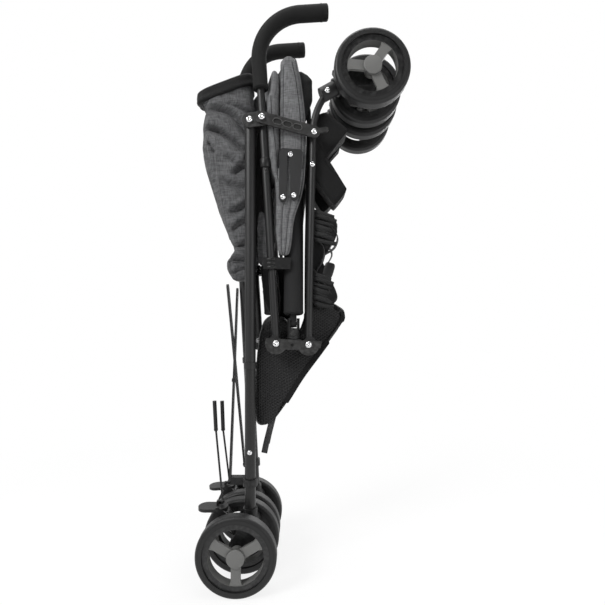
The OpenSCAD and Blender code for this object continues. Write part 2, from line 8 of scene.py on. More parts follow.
import bpy
import numpy as np
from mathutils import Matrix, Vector, noise
from mathutils.bvhtree import BVHTree


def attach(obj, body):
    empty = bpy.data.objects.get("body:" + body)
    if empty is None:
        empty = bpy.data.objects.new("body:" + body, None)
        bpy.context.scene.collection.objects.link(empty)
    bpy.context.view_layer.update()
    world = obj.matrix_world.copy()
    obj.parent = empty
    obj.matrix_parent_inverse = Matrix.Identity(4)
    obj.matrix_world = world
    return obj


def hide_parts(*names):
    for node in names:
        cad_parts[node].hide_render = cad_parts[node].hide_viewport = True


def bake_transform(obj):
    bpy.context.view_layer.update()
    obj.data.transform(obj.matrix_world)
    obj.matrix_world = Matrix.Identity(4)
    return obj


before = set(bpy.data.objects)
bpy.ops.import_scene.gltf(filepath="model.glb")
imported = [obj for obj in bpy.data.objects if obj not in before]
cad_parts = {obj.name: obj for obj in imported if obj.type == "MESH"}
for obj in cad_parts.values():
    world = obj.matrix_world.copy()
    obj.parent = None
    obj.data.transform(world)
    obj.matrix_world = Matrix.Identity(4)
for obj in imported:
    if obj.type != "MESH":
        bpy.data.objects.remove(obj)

LOG = logging.getLogger("stroller")
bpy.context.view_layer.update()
MM = 0.001
# The drawing's X counts from the photo's middle, and the row's from the middle of the box
CENTRE_X = 6.1956
# A sewn line needs this many points on the cloth to be made
FEWEST_HITS = 8
Point = tuple[float, float]
Table = Sequence[Point]


class Side(Enum):
    """The two side frames, by the sign of their Y."""

    RIGHT = -1
    LEFT = 1

    @property
    def word(self) -> str:
        """The side's ending in node and body names."""
        return self.name.lower()


class Link(Enum):
    """The stages of a side frame that move apart, each with its own pose on the left."""

    REAR = "rear"
    PUSH = "push"
    HINGE = "hinge"
    FRONT = "front"


@dataclass(frozen=True)
class FrameLayout:
    """Places of the frame's pivots in the drawing's side plane, in millimetres.

    The right side is drawn as it stands; the left side stands back from it.
    """

    side_y: float = 55.0
    pivot_a: Point = (-76.0, 892.0)
    pivot_b: Point = (-49.524, 464.018)
    pivot_c: Point = (12.438, 461.854)
    rear_axle: Point = (-121.0, 75.0)
    front_axle: Point = (128.609, 971.457)
    left_shift: Point = (-44.0, 1.23774)
    rear_turn: float = -3.08262
    hinge_turn: float = -3.0
    front_turn: float = 4.99987

    @staticmethod
    def turned(v: Point, angle: float) -> Point:
        """A vector turned clockwise in the side plane.

        Args:
            v: Vector as x and z.
            angle: Turn in degrees.

        Returns:
            The turned vector.
        """
        c, s = math.cos(math.radians(angle)), math.sin(math.radians(angle))
        return (v[0] * c + v[1] * s, v[1] * c - v[0] * s)

    def about(self, p: Point, pivot: Point, target: Point, angle: float) -> Point:
        """A point turned about a pivot that itself moves to a target.

        Args:
            p: Point to move.
            pivot: Pivot before the move.
            target: Pivot after the move.
            angle: Turn in degrees.

        Returns:
            The moved point.
        """
        v = self.turned((p[0] - pivot[0], p[1] - pivot[1]), angle)
        return (target[0] + v[0], target[1] + v[1])

    def shifted(self, p: Point) -> Point:
        """A point moved back by the left side's offset."""
        return (p[0] + self.left_shift[0], p[1] + self.left_shift[1])

    def place(self, side: Side, link: Link, p: Point) -> Point:
        """Where a point of the right side's drawing lies on a given side.

        Args:
            side: Side frame.
            link: Stage of the side frame that carries the point.
            p: Point as x and z on the right side.

        Returns:
            The point's x and z on that side.
        """
        if side is Side.RIGHT:
            return p
        if link is Link.REAR:
            return self.about(p, self.pivot_a, self.shifted(self.pivot_a), self.rear_turn)
        if link is Link.PUSH:
            return self.shifted(p)
        if link is Link.HINGE:
            return self.about(p, self.pivot_b, self.shifted(self.pivot_b), self.hinge_turn)
        left_c = self.about(self.pivot_c, self.pivot_b, self.shifted(self.pivot_b), self.hinge_turn)
        return self.about(p, self.pivot_c, left_c, self.front_turn)


LAYOUT = FrameLayout()


def row(points: np.ndarray) -> np.ndarray:
    """Points of the drawing, in millimetres, as points of the row, in metres.

    Args:
        points: Array of x, y and z.

    Returns:
        The array in metres, with X counted from the row's middle.
    """
    return (np.asarray(points, float).reshape(-1, 3) + (CENTRE_X, 0.0, 0.0)) * MM


def ripple(points: np.ndarray, scale: float, octaves: int = 2) -> np.ndarray:
    """Smooth repeatable noise at each point.

    Args:
        points: Array of x, y and z in millimetres.
        scale: Size of the largest waves in millimetres.
        octaves: Number of finer layers.

    Returns:
        One value from about -1 to 1 for each point.
    """
    values = np.zeros(len(points))
    for k in range(octaves):
        p = points / (scale / 2 ** k) + 17.0 * k
        values += np.array([noise.noise(Vector(v)) for v in p]) / 2 ** k
    return values


def rounded(outline: Sequence[Point], passes: int) -> np.ndarray:
    """A closed outline with its corners cut smooth.

    Args:
        outline: Corner points.
        passes: Number of times that each corner is cut.

    Returns:
        The smooth outline.
    """
    p = np.asarray(outline, float)
    for _ in range(passes):
        q = np.roll(p, -1, axis=0)
        p = np.stack([0.75 * p + 0.25 * q, 0.25 * p + 0.75 * q], axis=1).reshape(-1, 2)
    return p


def crisp(outline: Sequence[Point], reach: float) -> np.ndarray:
    """A closed outline with small round corners.

    Args:
        outline: Corner points.
        reach: How far from each corner its rounding starts, in millimetres.

    Returns:
        The outline.
    """
    p = np.asarray(outline, float)
    corners = []
    for before, at, after in zip(np.roll(p, 1, axis=0), p, np.roll(p, -1, axis=0)):
        for other in (before, after):
            v = other - at
            corners.append(at + v * min(0.4, reach / np.linalg.norm(v)))
    return rounded(corners, 2)


def resampled(path: np.ndarray, count: int, closed: bool = False) -> np.ndarray:
    """A path with evenly spaced points.

    Args:
        path: Points of the path.
        count: Number of points wanted.
        closed: Whether the path returns to its start.

    Returns:
        The new points.
    """
    p = np.asarray(path, float)
    if closed:
        p = np.vstack([p, p[:1]])
    steps = np.r_[0, np.cumsum(np.linalg.norm(np.diff(p, axis=0), axis=1))]
    at = np.linspace(0, steps[-1], count, endpoint=not closed)
    return np.stack([np.interp(at, steps, p[:, k]) for k in range(p.shape[1])], axis=1)


def level(table: Table, z: float | np.ndarray) -> float | np.ndarray:
    """A table's value at a height, or at each of several heights."""
    return np.interp(z, *zip(*table))


def around(count: int) -> np.ndarray:
    """Evenly spaced angles of a full turn."""
    return np.linspace(0, 2 * math.pi, count, endpoint=False)


def unit(vectors: np.ndarray) -> np.ndarray:
    """Rows of an array, each brought to length 1."""
    return vectors / np.linalg.norm(vectors, axis=1, keepdims=True)


def squared(wave: np.ndarray, power: float) -> np.ndarray:
    """Sines or cosines bent towards the sides of a square."""
    return np.sign(wave) * np.abs(wave) ** power


def curve_through(points: Sequence[Sequence[float]], count: int) -> np.ndarray:
    """A smooth path through points, by Catmull and Rom's rule.

    Args:
        points: Points to pass through.
        count: Number of points wanted.

    Returns:
        Evenly spaced points of the path.
    """
    p = np.asarray(points, float)
    p = np.vstack([2 * p[0] - p[1], p, 2 * p[-1] - p[-2]])
    out = []
    for i in range(1, len(p) - 2):
        for t in np.linspace(0, 1, 12, endpoint=False):
            a, b, c, d = p[i - 1], p[i], p[i + 1], p[i + 2]
            out.append(0.5 * (2 * b + (c - a) * t + (2 * a - 5 * b + 4 * c - d) * t ** 2
                              + (3 * b - a - 3 * c + d) * t ** 3))
    out.append(p[-2])
    return resampled(np.array(out), count)


@dataclass
class Skin:
    """Vertices and faces of one mesh in the drawing's millimetres."""

    points: list[Sequence[float]] = field(default_factory=list)
    faces: list[tuple[int, ...]] = field(default_factory=list)

    def add(self, points: Iterable[Sequence[float]], faces: Iterable[Sequence[int]]) -> "Skin":
        """Adds a patch.

        Args:
            points: Points of the patch.
            faces: Faces by the patch's own point numbers.

        Returns:
            This skin.
        """
        base = len(self.points)
        self.points.extend(tuple(map(float, p)) for p in points)
        self.faces.extend(tuple(base + i for i in f) for f in faces)
        return self

    def loft(self, rings: np.ndarray) -> "Skin":
        """Adds a skin through closed rings of points, with both ends closed.

        Args:
            rings: Array of rings, each with the same number of points.

        Returns:
            This skin.
        """
        n, m = rings.shape[:2]
        points = list(rings.reshape(-1, 3))
        faces = [(i * m + j, i * m + (j + 1) % m, (i + 1) * m + (j + 1) % m, (i + 1) * m + j)
                 for i in range(n - 1) for j in range(m)]
        for i, turn in ((0, True), (n - 1, False)):
            points.append(rings[i].mean(0))
            ring = [(i * m + j, i * m + (j + 1) % m) for j in range(m)]
            faces += [(b, a, len(points) - 1) if turn else (a, b, len(points) - 1) for a, b in ring]
        return self.add(points, faces)

    def sweep(self, path: np.ndarray, across: np.ndarray, out: np.ndarray, outline: np.ndarray) -> "Skin":
        """Adds an outline carried along a path.

        Args:
            path: Points of the path.
            across: Direction of the outline's width at each point.
            out: Direction of the outline's thickness at each point.
            outline: Outline as width and thickness.

        Returns:
            This skin.
        """
        rings = (path[:, None, :] + outline[None, :, :1] * across[:, None, :]
                 + outline[None, :, 1:2] * out[:, None, :])
        return self.loft(rings)

    def tube(self, path: np.ndarray, radius: float, sides: int = 12) -> "Skin":
        """Adds a round tube along a path.

        Args:
            path: Points of the path.
            radius: Radius of the tube.
            sides: Number of sides.

        Returns:
            This skin.
        """
        ahead = unit(np.gradient(path, axis=0))
        lead = np.array([0.0, 1.0, 0.0]) if abs(ahead[:, 1]).mean() < 0.8 else np.array([1.0, 0.0, 0.0])
        across = unit(np.cross(ahead, lead))
        out = np.cross(across, ahead)
        a = around(sides)
        return self.sweep(path, across, out, radius * np.stack([np.cos(a), np.sin(a)], axis=1))

    def turned_round(self, profile: Sequence[Point], base: np.ndarray, axis: np.ndarray,
                     sides: int = 32) -> "Skin":
        """Adds a solid of revolution.

        Args:
            profile: Radius and height pairs from one end to the other.
            base: Point on the axis that height counts from.
            axis: Direction of the axis.
            sides: Number of sides.

        Returns:
            This skin.
        """
        w = np.asarray(axis, float) / np.linalg.norm(axis)
        u = np.cross(w, (0.0, 1.0, 0.0) if abs(w[1]) < 0.8 else (1.0, 0.0, 0.0))
        u /= np.linalg.norm(u)
        v = np.cross(w, u)
        a = around(sides)
        ring = np.cos(a)[:, None] * u + np.sin(a)[:, None] * v
        return self.loft(np.array([np.asarray(base) + r * ring + h * w for r, h in profile]))

    def build(self, name: str) -> bpy.types.Object:
        """Makes the Blender object, shaded smooth.

        Args:
            name: Name of the piece.

        Returns:
            The new object, in the row's metres.
        """
        mesh = bpy.data.meshes.new(name)
        mesh.from_pydata(row(np.array(self.points)).tolist(), [], self.faces)
        mesh.validate()
        mesh.polygons.foreach_set("use_smooth", [True] * len(mesh.polygons))
        obj = bpy.data.objects.new(name, mesh)
        bpy.context.scene.collection.objects.link(obj)
        mesh.update()
        return obj


def subdivided(obj: bpy.types.Object) -> bpy.types.Object:
    """Halves a piece's faces once, smoothly."""
    modifier = obj.modifiers.new("finer", "SUBSURF")
    modifier.levels = modifier.render_levels = 1
    return applied(obj)


def applied(obj: bpy.types.Object) -> bpy.types.Object:
    """Turns a piece's modifiers into its mesh."""
    graph = bpy.context.evaluated_depsgraph_get()
    mesh = bpy.data.meshes.new_from_object(obj.evaluated_get(graph))
    obj.modifiers.clear()
    obj.data = mesh
    mesh.polygons.foreach_set("use_smooth", [True] * len(mesh.polygons))
    return obj


def points_of(obj: bpy.types.Object) -> np.ndarray:
    """A piece's points in the row's metres."""
    return np.array([v.co for v in obj.data.vertices])


def move_to(obj: bpy.types.Object, points: np.ndarray) -> None:
    """Moves a piece's points to new places in the row's metres."""
    obj.data.vertices.foreach_set("co", points.astype(np.float32).ravel())
    obj.data.update()


@dataclass
class Surface:
    """A finished piece's outside, for laying trim on it."""

    obj: bpy.types.Object

    def __post_init__(self) -> None:
        """Makes the search tree."""
        mesh = self.obj.data
        points = [v.co / MM - Vector((CENTRE_X, 0, 0)) for v in mesh.vertices]
        self.tree = BVHTree.FromPolygons(points, [tuple(p.vertices) for p in mesh.polygons])

    def hit(self, x: float, z: float, side: Side, lift: float) -> tuple[np.ndarray, np.ndarray] | None:
        """The outside point at a place in the side plane.

        Args:
            x: Place along the stroller.
            z: Height.
            side: Side that it is looked at from.
            lift: Distance off the surface.

        Returns:
            The point and the surface's normal, or None where nothing lies there.
        """
        start = Vector((x, side.value * 400.0, z))
        place, normal, _, _ = self.tree.ray_cast(start, Vector((0, -side.value, 0)))
        if place is None:
            return None
        if normal.y * side.value < 0:
            normal = -normal
        return np.array(place + normal * lift), np.array(normal)

    def path(self, points: np.ndarray, side: Side, lift: float) -> tuple[np.ndarray, np.ndarray]:
        """A path in the side plane laid on the surface.

        Args:
            points: Points as x and z.
            side: Side that the path lies on.
            lift: Distance off the surface.

        Returns:
            The points that meet the surface, and their normals.
        """
        found = [h for h in (self.hit(x, z, side, lift) for x, z in points) if h]
        return np.array([h[0] for h in found]), np.array([h[1] for h in found])


class Graph:
    """Short ways to make and join shader nodes."""

    def __init__(self, tree: bpy.types.NodeTree) -> None:
        """Takes the tree to work in."""
        self.tree = tree

    def node(self, kind: str, **values: object) -> bpy.types.Node:
        """Makes a node.

        Args:
            kind: Blender's name of the node without its ShaderNode prefix.
            values: Properties of the node, or values of its inputs.

        Returns:
            The new node.
        """
        made = self.tree.nodes.new("ShaderNode" + kind)
        for key, value in values.items():
            if hasattr(made, key):
                setattr(made, key, value)
            else:
                made.inputs[key.replace("_", " ")].default_value = value
        return made

    def link(self, out: bpy.types.NodeSocket, into: bpy.types.NodeSocket) -> None:
        """Joins two sockets."""
        self.tree.links.new(out, into)

    def math(self, work: str, *terms: object, clamp: bool = False) -> bpy.types.NodeSocket:
        """Makes a Math node.

        Args:
            work: Operation.
            terms: Sockets or numbers.
            clamp: Whether the result is kept from 0 to 1.

        Returns:
            Its output.
        """
        made = self.node("Math", operation=work, use_clamp=clamp)
        for socket, term in zip(made.inputs, terms):
            if isinstance(term, (int, float)):
                socket.default_value = term
            else:
                self.link(term, socket)
        return made.outputs[0]

    def mix(self, share: object, low: object, high: object) -> bpy.types.NodeSocket:
        """Makes a colour Mix node.

        Args:
            share: Socket or number from 0 to 1.
            low: Colour or socket at 0.
            high: Colour or socket at 1.

        Returns:
            Its colour output.
        """
        made = self.node("Mix", data_type="RGBA")
        for socket, term in ((made.inputs[0], share), (made.inputs[6], low), (made.inputs[7], high)):
            if isinstance(term, bpy.types.NodeSocket):
                self.link(term, socket)
            else:
                socket.default_value = term if isinstance(term, (int, float)) else (*term, 1.0)
        return made.outputs[2]

    def span(self, value: bpy.types.NodeSocket, low: float, high: float, to_low: object,
             to_high: object) -> bpy.types.NodeSocket:
        """Makes a clamped Map Range node.

        Args:
            value: Socket to map.
            low: Start of its range.
            high: End of its range.
            to_low: Number or socket at the start.
            to_high: Number or socket at the end.

        Returns:
            Its output.
        """
        made = self.node("MapRange", From_Min=low, From_Max=high)
        self.link(value, made.inputs["Value"])
        for name, term in (("To Min", to_low), ("To Max", to_high)):
            if isinstance(term, bpy.types.NodeSocket):
                self.link(term, made.inputs[name])
            else:
                made.inputs[name].default_value = term
        return made.outputs[0]


class Effect(Enum):
    """Effects that several finishes share, each a node group."""

    GRAIN = "fine_grain"
    WEAVE = "melange_weave"
    WEAR = "edge_wear"
    GROOVE = "ring_groove"
    NETTING = "round_hole_net"


class Effects:
    """The shared node groups, each made once."""

    sockets = {
        Effect.GRAIN: (("Scale", "Spread"), ("Height", "Tone")),
        Effect.WEAVE: (("Pitch", "Fleck"), ("Height", "Tone")),
        Effect.WEAR: (("Sharpness", "Breakup"), ("Mask",)),
        Effect.GROOVE: (("Centre X", "Centre Z", "Radius", "Width"), ("Mask",)),
        Effect.NETTING: (("Pitch",), ("Mask",)),
    }

    def __init__(self) -> None:
        """Starts with no group made."""
        self.made: dict[Effect, bpy.types.NodeTree] = {}

    def group(self, effect: Effect) -> bpy.types.NodeTree:
        """The node group of an effect.

        Args:
            effect: Effect wanted.

        Returns:
            Its node tree.
        """
        if effect in self.made:
            return self.made[effect]
        tree = bpy.data.node_groups.new(effect.value, "ShaderNodeTree")
        inputs, outputs = self.sockets[effect]
        for name in inputs:
            tree.interface.new_socket(name, in_out="INPUT", socket_type="NodeSocketFloat")
        for name in outputs:
            tree.interface.new_socket(name, in_out="OUTPUT", socket_type="NodeSocketFloat")
        start, end = tree.nodes.new("NodeGroupInput"), tree.nodes.new("NodeGroupOutput")
        getattr(self, effect.name.lower())(Graph(tree), start, end)
        self.made[effect] = tree
        return tree

    @staticmethod
    def grain(g: Graph, start: bpy.types.Node, end: bpy.types.Node) -> None:
        """Builds fine moulded grain and a slow change of tone.

        Args:
            g: Graph of the group.
            start: Its input node.
            end: Its output node.
        """
        place = g.node("TexCoord").outputs["Object"]
        fine = g.node("TexNoise", Detail=3.0, Roughness=0.6)
        slow = g.node("TexNoise", Detail=2.0, Scale=14.0)
        for made in (fine, slow):
            g.link(place, made.inputs["Vector"])
        g.link(start.outputs["Scale"], fine.inputs["Scale"])
        g.link(fine.outputs[0], end.inputs["Height"])
        both = g.math("ADD", g.math("MULTIPLY", fine.outputs[0], 0.5),
                      g.math("MULTIPLY", slow.outputs[0], 0.5))
        away = g.math("SUBTRACT", both, 0.5)
        g.link(g.math("MULTIPLY_ADD", away, start.outputs["Spread"], 0.5), end.inputs["Tone"])

    @staticmethod
    def weave(g: Graph, start: bpy.types.Node, end: bpy.types.Node) -> None:
        """Builds a plain weave with flecks of lighter and darker yarn.

        Args:
            g: Graph of the group.
            start: Its input node.
            end: Its output node.
        """
        place = g.node("TexCoord").outputs["Object"]
        parts = g.node("SeparateXYZ")
        g.link(place, parts.inputs[0])
        x, y, z = parts.outputs
        along = g.math("ADD", x, g.math("MULTIPLY", y, 0.9))
        pitch = start.outputs["Pitch"]
        warp = g.math("SINE", g.math("MULTIPLY", along, pitch))
        weft = g.math("SINE", g.math("MULTIPLY", z, pitch))
        g.link(g.math("MULTIPLY_ADD", g.math("MULTIPLY", warp, weft), 0.5, 0.5), end.inputs["Height"])
        tones = []
        for wide, tall in ((1.0, 0.16), (0.16, 1.0)):
            where = g.node("CombineXYZ")
            g.link(g.math("MULTIPLY", along, wide), where.inputs[0])
            g.link(g.math("MULTIPLY", z, tall), where.inputs[1])
            g.link(g.math("MULTIPLY", y, 0.2), where.inputs[2])
            yarn = g.node("TexNoise", Detail=2.0)
            g.link(where.outputs[0], yarn.inputs["Vector"])
            g.link(g.math("MULTIPLY", start.outputs["Fleck"], 1.0), yarn.inputs["Scale"])
            tones.append(yarn.outputs[0])
        total = g.math("MULTIPLY", g.math("ADD", *tones), 0.5)
        g.link(g.span(total, 0.33, 0.67, 0.0, 1.0), end.inputs["Tone"])

    @staticmethod
    def netting(g: Graph, start: bpy.types.Node, end: bpy.types.Node) -> None:
        """Builds a mask of the threads between round holes in staggered rows.

        Args:
            g: Graph of the group.
            start: Its input node.
            end: Its output node.
        """
        parts = g.node("SeparateXYZ")
        g.link(g.node("TexCoord").outputs["Object"], parts.inputs[0])
        x, y, z = parts.outputs
        along = g.math("ADD", x, g.math("MULTIPLY", y, 0.9))
        total = 0.0
        for turn in (0.0, 60.0, 120.0):
            across = g.math("MULTIPLY", z, math.sin(math.radians(turn)))
            line = g.math("MULTIPLY_ADD", along, math.cos(math.radians(turn)), across)
            total = g.math("ADD", g.math("COSINE", g.math("MULTIPLY", line, start.outputs["Pitch"])), total)
        g.link(g.span(total, -0.6, 1.2, 1.0, 0.0), end.inputs["Mask"])

    @staticmethod
    def wear(g: Graph, start: bpy.types.Node, end: bpy.types.Node) -> None:
        """Builds a mask of rubbed edges.

        Args:
            g: Graph of the group.
            start: Its input node.
            end: Its output node.
        """
        sharp = g.node("NewGeometry").outputs["Pointiness"]
        patch = g.node("TexNoise", Detail=4.0)
        g.link(g.node("TexCoord").outputs["Object"], patch.inputs["Vector"])
        g.link(start.outputs["Breakup"], patch.inputs["Scale"])
        edge = g.math("MULTIPLY", g.math("SUBTRACT", sharp, 0.5), start.outputs["Sharpness"], clamp=True)
        g.link(g.math("MULTIPLY", edge, g.span(patch.outputs[0], 0.4, 0.65, 0.0, 1.0)), end.inputs["Mask"])

    @staticmethod
    def groove(g: Graph, start: bpy.types.Node, end: bpy.types.Node) -> None:
        """Builds a ring about an axle that runs along Y, the mask of a groove's painted shade.

        Args:
            g: Graph of the group.
            start: Its input node.
            end: Its output node.
        """
        parts = g.node("SeparateXYZ")
        g.link(g.node("TexCoord").outputs["Object"], parts.inputs[0])
        x = g.math("SUBTRACT", parts.outputs[0], start.outputs["Centre X"])
        z = g.math("SUBTRACT", parts.outputs[2], start.outputs["Centre Z"])
        reach = g.math("SQRT", g.math("ADD", g.math("MULTIPLY", x, x), g.math("MULTIPLY", z, z)))
        off = g.math("ABSOLUTE", g.math("SUBTRACT", reach, start.outputs["Radius"]))
        g.link(g.math("SUBTRACT", 1.0, g.math("DIVIDE", off, start.outputs["Width"]), clamp=True),
               end.inputs["Mask"])


EFFECTS = Effects()
Colour = tuple[float, float, float]


@dataclass(frozen=True)
class Finish:
    """A moulded, painted or metal finish with grain and rubbed edges."""

    name: str
    colour: Colour
    rough: float
    metallic: float = 0.0
    grain: float = 900.0
    grain_depth: float = 0.0002
    tone: float = 0.25
    rough_spread: float = 0.12
    wear: float = 0.0
    wear_colour: Colour = (0.2, 0.2, 0.2)
    coat: float = 0.0
    specular: float = 0.5

    def use(self, g: Graph, effect: Effect, **values: float) -> bpy.types.Node:
        """Places a shared effect in this finish's material.

        Args:
            g: Graph of the material.
            effect: Effect wanted.
            values: Values of its inputs.

        Returns:
            The group node.
        """
        made = g.tree.nodes.new("ShaderNodeGroup")
        made.node_tree = EFFECTS.group(effect)
        for key, value in values.items():
            made.inputs[key.replace("_", " ")].default_value = value
        return made

    def base(self) -> tuple[bpy.types.Material, Graph, bpy.types.Node]:
        """Makes the material with its Principled shader and constant values.

        Returns:
            The material, its graph and the shader node.
        """
        material = bpy.data.materials.new(self.name)
        material.use_nodes = True
        shader = material.node_tree.nodes["Principled BSDF"]
        shader.inputs["Base Color"].default_value = (*self.colour, 1.0)
        shader.inputs["Metallic"].default_value = self.metallic
        shader.inputs["Specular IOR Level"].default_value = self.specular
        if self.coat:
            shader.inputs["Coat Weight"].default_value = self.coat
            shader.inputs["Coat Roughness"].default_value = 0.18
        return material, Graph(material.node_tree), shader

    def bump(self, g: Graph, shader: bpy.types.Node, height: bpy.types.NodeSocket, depth: float) -> None:
        """Drives the shader's normal by a height.

        Args:
            g: Graph of the material.
            shader: Its shader.
            height: Height from 0 to 1.
            depth: Depth in metres.
        """
        made = g.node("Bump", Distance=depth, Strength=1.0)
        g.link(height, made.inputs["Height"])
        g.link(made.outputs[0], shader.inputs["Normal"])

    def shades(self) -> tuple[Colour, Colour]:
        """The darker and lighter ends of the finish's colour."""
        return tuple(tuple(c * share for c in self.colour) for share in (1 - self.tone, 1 + self.tone))

    def material(self) -> bpy.types.Material:
        """Makes the finish's material.

        Returns:
            The material.
        """
        material, g, shader = self.base()
        grain = self.use(g, Effect.GRAIN, Scale=self.grain, Spread=1.6)
        colour = g.mix(grain.outputs["Tone"], *self.shades())
        if self.wear:
            worn = self.use(g, Effect.WEAR, Sharpness=self.wear, Breakup=160.0)
            colour = g.mix(worn.outputs["Mask"], colour, self.wear_colour)
        colour = self.extra(g, colour)
        g.link(colour, shader.inputs["Base Color"])
        rough = g.span(grain.outputs["Tone"], 0.2, 0.8, self.rough - self.rough_spread,
                       self.rough + self.rough_spread)
        g.link(rough, shader.inputs["Roughness"])
        self.bump(g, shader, grain.outputs["Height"], self.grain_depth)
        return material

    def extra(self, g: Graph, colour: bpy.types.NodeSocket) -> bpy.types.NodeSocket:
        """What a kind of finish adds to the colour.

        Args:
            g: Graph of the material.
            colour: Colour so far.

        Returns:
            The colour to use.
        """
        return colour


@dataclass(frozen=True)
class TyreFinish(Finish):
    """Foam rubber with moulded grooves round the axle, darkened with painted shade."""

    centre: Point = (0.0, 0.0)
    rings: tuple[float, ...] = ()
    ring_colour: Colour = (0.004, 0.004, 0.004)

    def extra(self, g: Graph, colour: bpy.types.NodeSocket) -> bpy.types.NodeSocket:
        """Darkens the moulded grooves with painted shade.

        Args:
            g: Graph of the material.
            colour: Colour so far.

        Returns:
            The colour with its rings.
        """
        for radius in self.rings:
            ring = self.use(g, Effect.GROOVE, Centre_X=(self.centre[0] + CENTRE_X) * MM,
                            Centre_Z=self.centre[1] * MM, Radius=radius * MM, Width=0.0011)
            colour = g.mix(ring.outputs["Mask"], colour, self.ring_colour)
        return colour


@dataclass(frozen=True)
class ClothFinish(Finish):
    """Woven cloth with flecks of lighter and darker yarn and a soft sheen."""

    pitch: float = 5200.0
    fleck: float = 420.0
    sheen: float = 0.25
    weave_depth: float = 0.0003

    def material(self) -> bpy.types.Material:
        """Makes the cloth's material.

        Returns:
            The material.
        """
        material, g, shader = self.base()
        shader.inputs["Sheen Weight"].default_value = self.sheen
        shader.inputs["Sheen Roughness"].default_value = 0.5
        weave = self.use(g, Effect.WEAVE, Pitch=self.pitch, Fleck=self.fleck)
        grain = self.use(g, Effect.GRAIN, Scale=60.0, Spread=1.0)
        colour = g.mix(weave.outputs["Tone"], *self.shades())
        shade = g.span(grain.outputs["Tone"], 0.3, 0.7, 0.86, 1.14)
        scaled = g.node("VectorMath", operation="SCALE")
        g.link(colour, scaled.inputs[0])
        g.link(shade, scaled.inputs["Scale"])
        g.link(scaled.outputs[0], shader.inputs["Base Color"])
        g.link(g.span(weave.outputs["Tone"], 0.0, 1.0, self.rough - 0.06, self.rough + 0.06),
               shader.inputs["Roughness"])
        self.bump(g, shader, weave.outputs["Height"], self.weave_depth)
        return material


@dataclass(frozen=True)
class NetFinish(ClothFinish):
    """Knitted net with round holes, which show dark."""

    hole: Colour = (0.0014, 0.0014, 0.0015)

    def material(self) -> bpy.types.Material:
        """Makes the net's material.

        Returns:
            The material.
        """
        material, g, shader = self.base()
        shader.inputs["Sheen Weight"].default_value = self.sheen
        shader.inputs["Roughness"].default_value = self.rough
        net = self.use(g, Effect.NETTING, Pitch=self.pitch)
        g.link(g.mix(net.outputs["Mask"], self.hole, self.colour), shader.inputs["Base Color"])
        self.bump(g, shader, net.outputs["Mask"], self.weave_depth)
        return material


LAYOUT_WHEELS = {"rear": LAYOUT.rear_axle, "front": LAYOUT.front_axle}
BLACK_TUBE = Finish("satin_black_tube", (0.0062, 0.0062, 0.0065), 0.5, grain=420.0, grain_depth=0.000004,
                    tone=0.12, rough_spread=0.03, specular=0.5)
# Lower rear leg: the same satin black tube, made lighter and a little metallic as a painted reflection
LOWER_TUBE_REFLECTION = Finish("gunmetal_tube", (0.0105, 0.0104, 0.0102), 0.42, metallic=0.25, grain=420.0,
                       grain_depth=0.000004, tone=0.12, rough_spread=0.03, coat=0.1, specular=0.5)
BLACK_PLASTIC = Finish("moulded_black", (0.0058, 0.0058, 0.006), 0.46, grain=1500.0, grain_depth=0.0001,
                       wear=4.0, wear_colour=(0.03, 0.03, 0.03), specular=0.36)
BRACKET_PLASTIC = Finish("charcoal_moulding", (0.0165, 0.0163, 0.016), 0.45, grain=1300.0, grain_depth=0.0001,
                         wear=4.0, wear_colour=(0.06, 0.06, 0.06), specular=0.36)
STAY_PLASTIC = Finish("matt_stay", (0.019, 0.019, 0.0195), 0.58, grain=1600.0, grain_depth=0.00012,
                      specular=0.3)
# Latch recess rims: the latch's own plastic, lighter as a painted highlight on the edges
LATCH_RIM_HIGHLIGHT = Finish("latch_edge", (0.05, 0.05, 0.049), 0.4, grain=1300.0, grain_depth=0.00006, specular=0.5)
RIVET_STEEL = Finish("bright_rivet", (0.82, 0.82, 0.83), 0.24, metallic=1.0, grain=700.0, grain_depth=0.00006,
                     tone=0.08)
AXLE_STEEL = Finish("zinc_axle", (0.3, 0.3, 0.31), 0.4, metallic=1.0, grain=700.0, grain_depth=0.00006,
                    tone=0.12)
GRIP_FOAM = Finish("grip_foam", (0.0105, 0.0105, 0.0105), 0.82, grain=1100.0, grain_depth=0.0004, tone=0.35,
                   rough_spread=0.06, specular=0.2)
BUMPER_FOAM = Finish("bumper_foam", (0.0155, 0.0155, 0.016), 0.82, grain=1000.0, grain_depth=0.0004, tone=0.3,
                     rough_spread=0.06, specular=0.2)
SPOKE_PLASTIC = Finish("grey_spoke", (0.125, 0.125, 0.121), 0.44, grain=1200.0, grain_depth=0.0001, tone=0.12,
                       specular=0.4)
RIM_BLACK = Finish("black_rim", (0.0072, 0.0072, 0.0074), 0.36, grain=1100.0, grain_depth=0.00008, wear=4.0,
                   wear_colour=(0.04, 0.04, 0.04), specular=0.45)
LINK_WIRE = Finish("coated_wire", (0.008, 0.008, 0.008), 0.36, grain=600.0, grain_depth=0.00005, specular=0.4)
BLACK_BAR = Finish("painted_bar", (0.012, 0.012, 0.012), 0.34, grain=500.0, grain_depth=0.00005, wear=5.0,
                   wear_colour=(0.06, 0.06, 0.06), specular=0.45)
HOOD_CLOTH = ClothFinish("grey_hood_cloth", (0.132, 0.133, 0.136), 0.92, tone=0.4, sheen=0.08, specular=0.15)
GREY_CLOTH = ClothFinish("grey_melange_cloth", (0.088, 0.0886, 0.091), 0.92, tone=0.5, sheen=0.08,
                         specular=0.15)
GREY_SEAM = ClothFinish("grey_seam_tape", (0.098, 0.098, 0.1), 0.9, tone=0.3, sheen=0.08, specular=0.15)
STITCH = ClothFinish("dark_stitch", (0.026, 0.026, 0.027), 0.9, tone=0.3, sheen=0.05, specular=0.15)
BLACK_CLOTH = ClothFinish("black_cloth", (0.0056, 0.0056, 0.0058), 0.8, tone=0.35, sheen=0.05, specular=0.22)
LINING = ClothFinish("black_lining", (0.0036, 0.0036, 0.0038), 0.7, tone=0.3, sheen=0.04, specular=0.25)
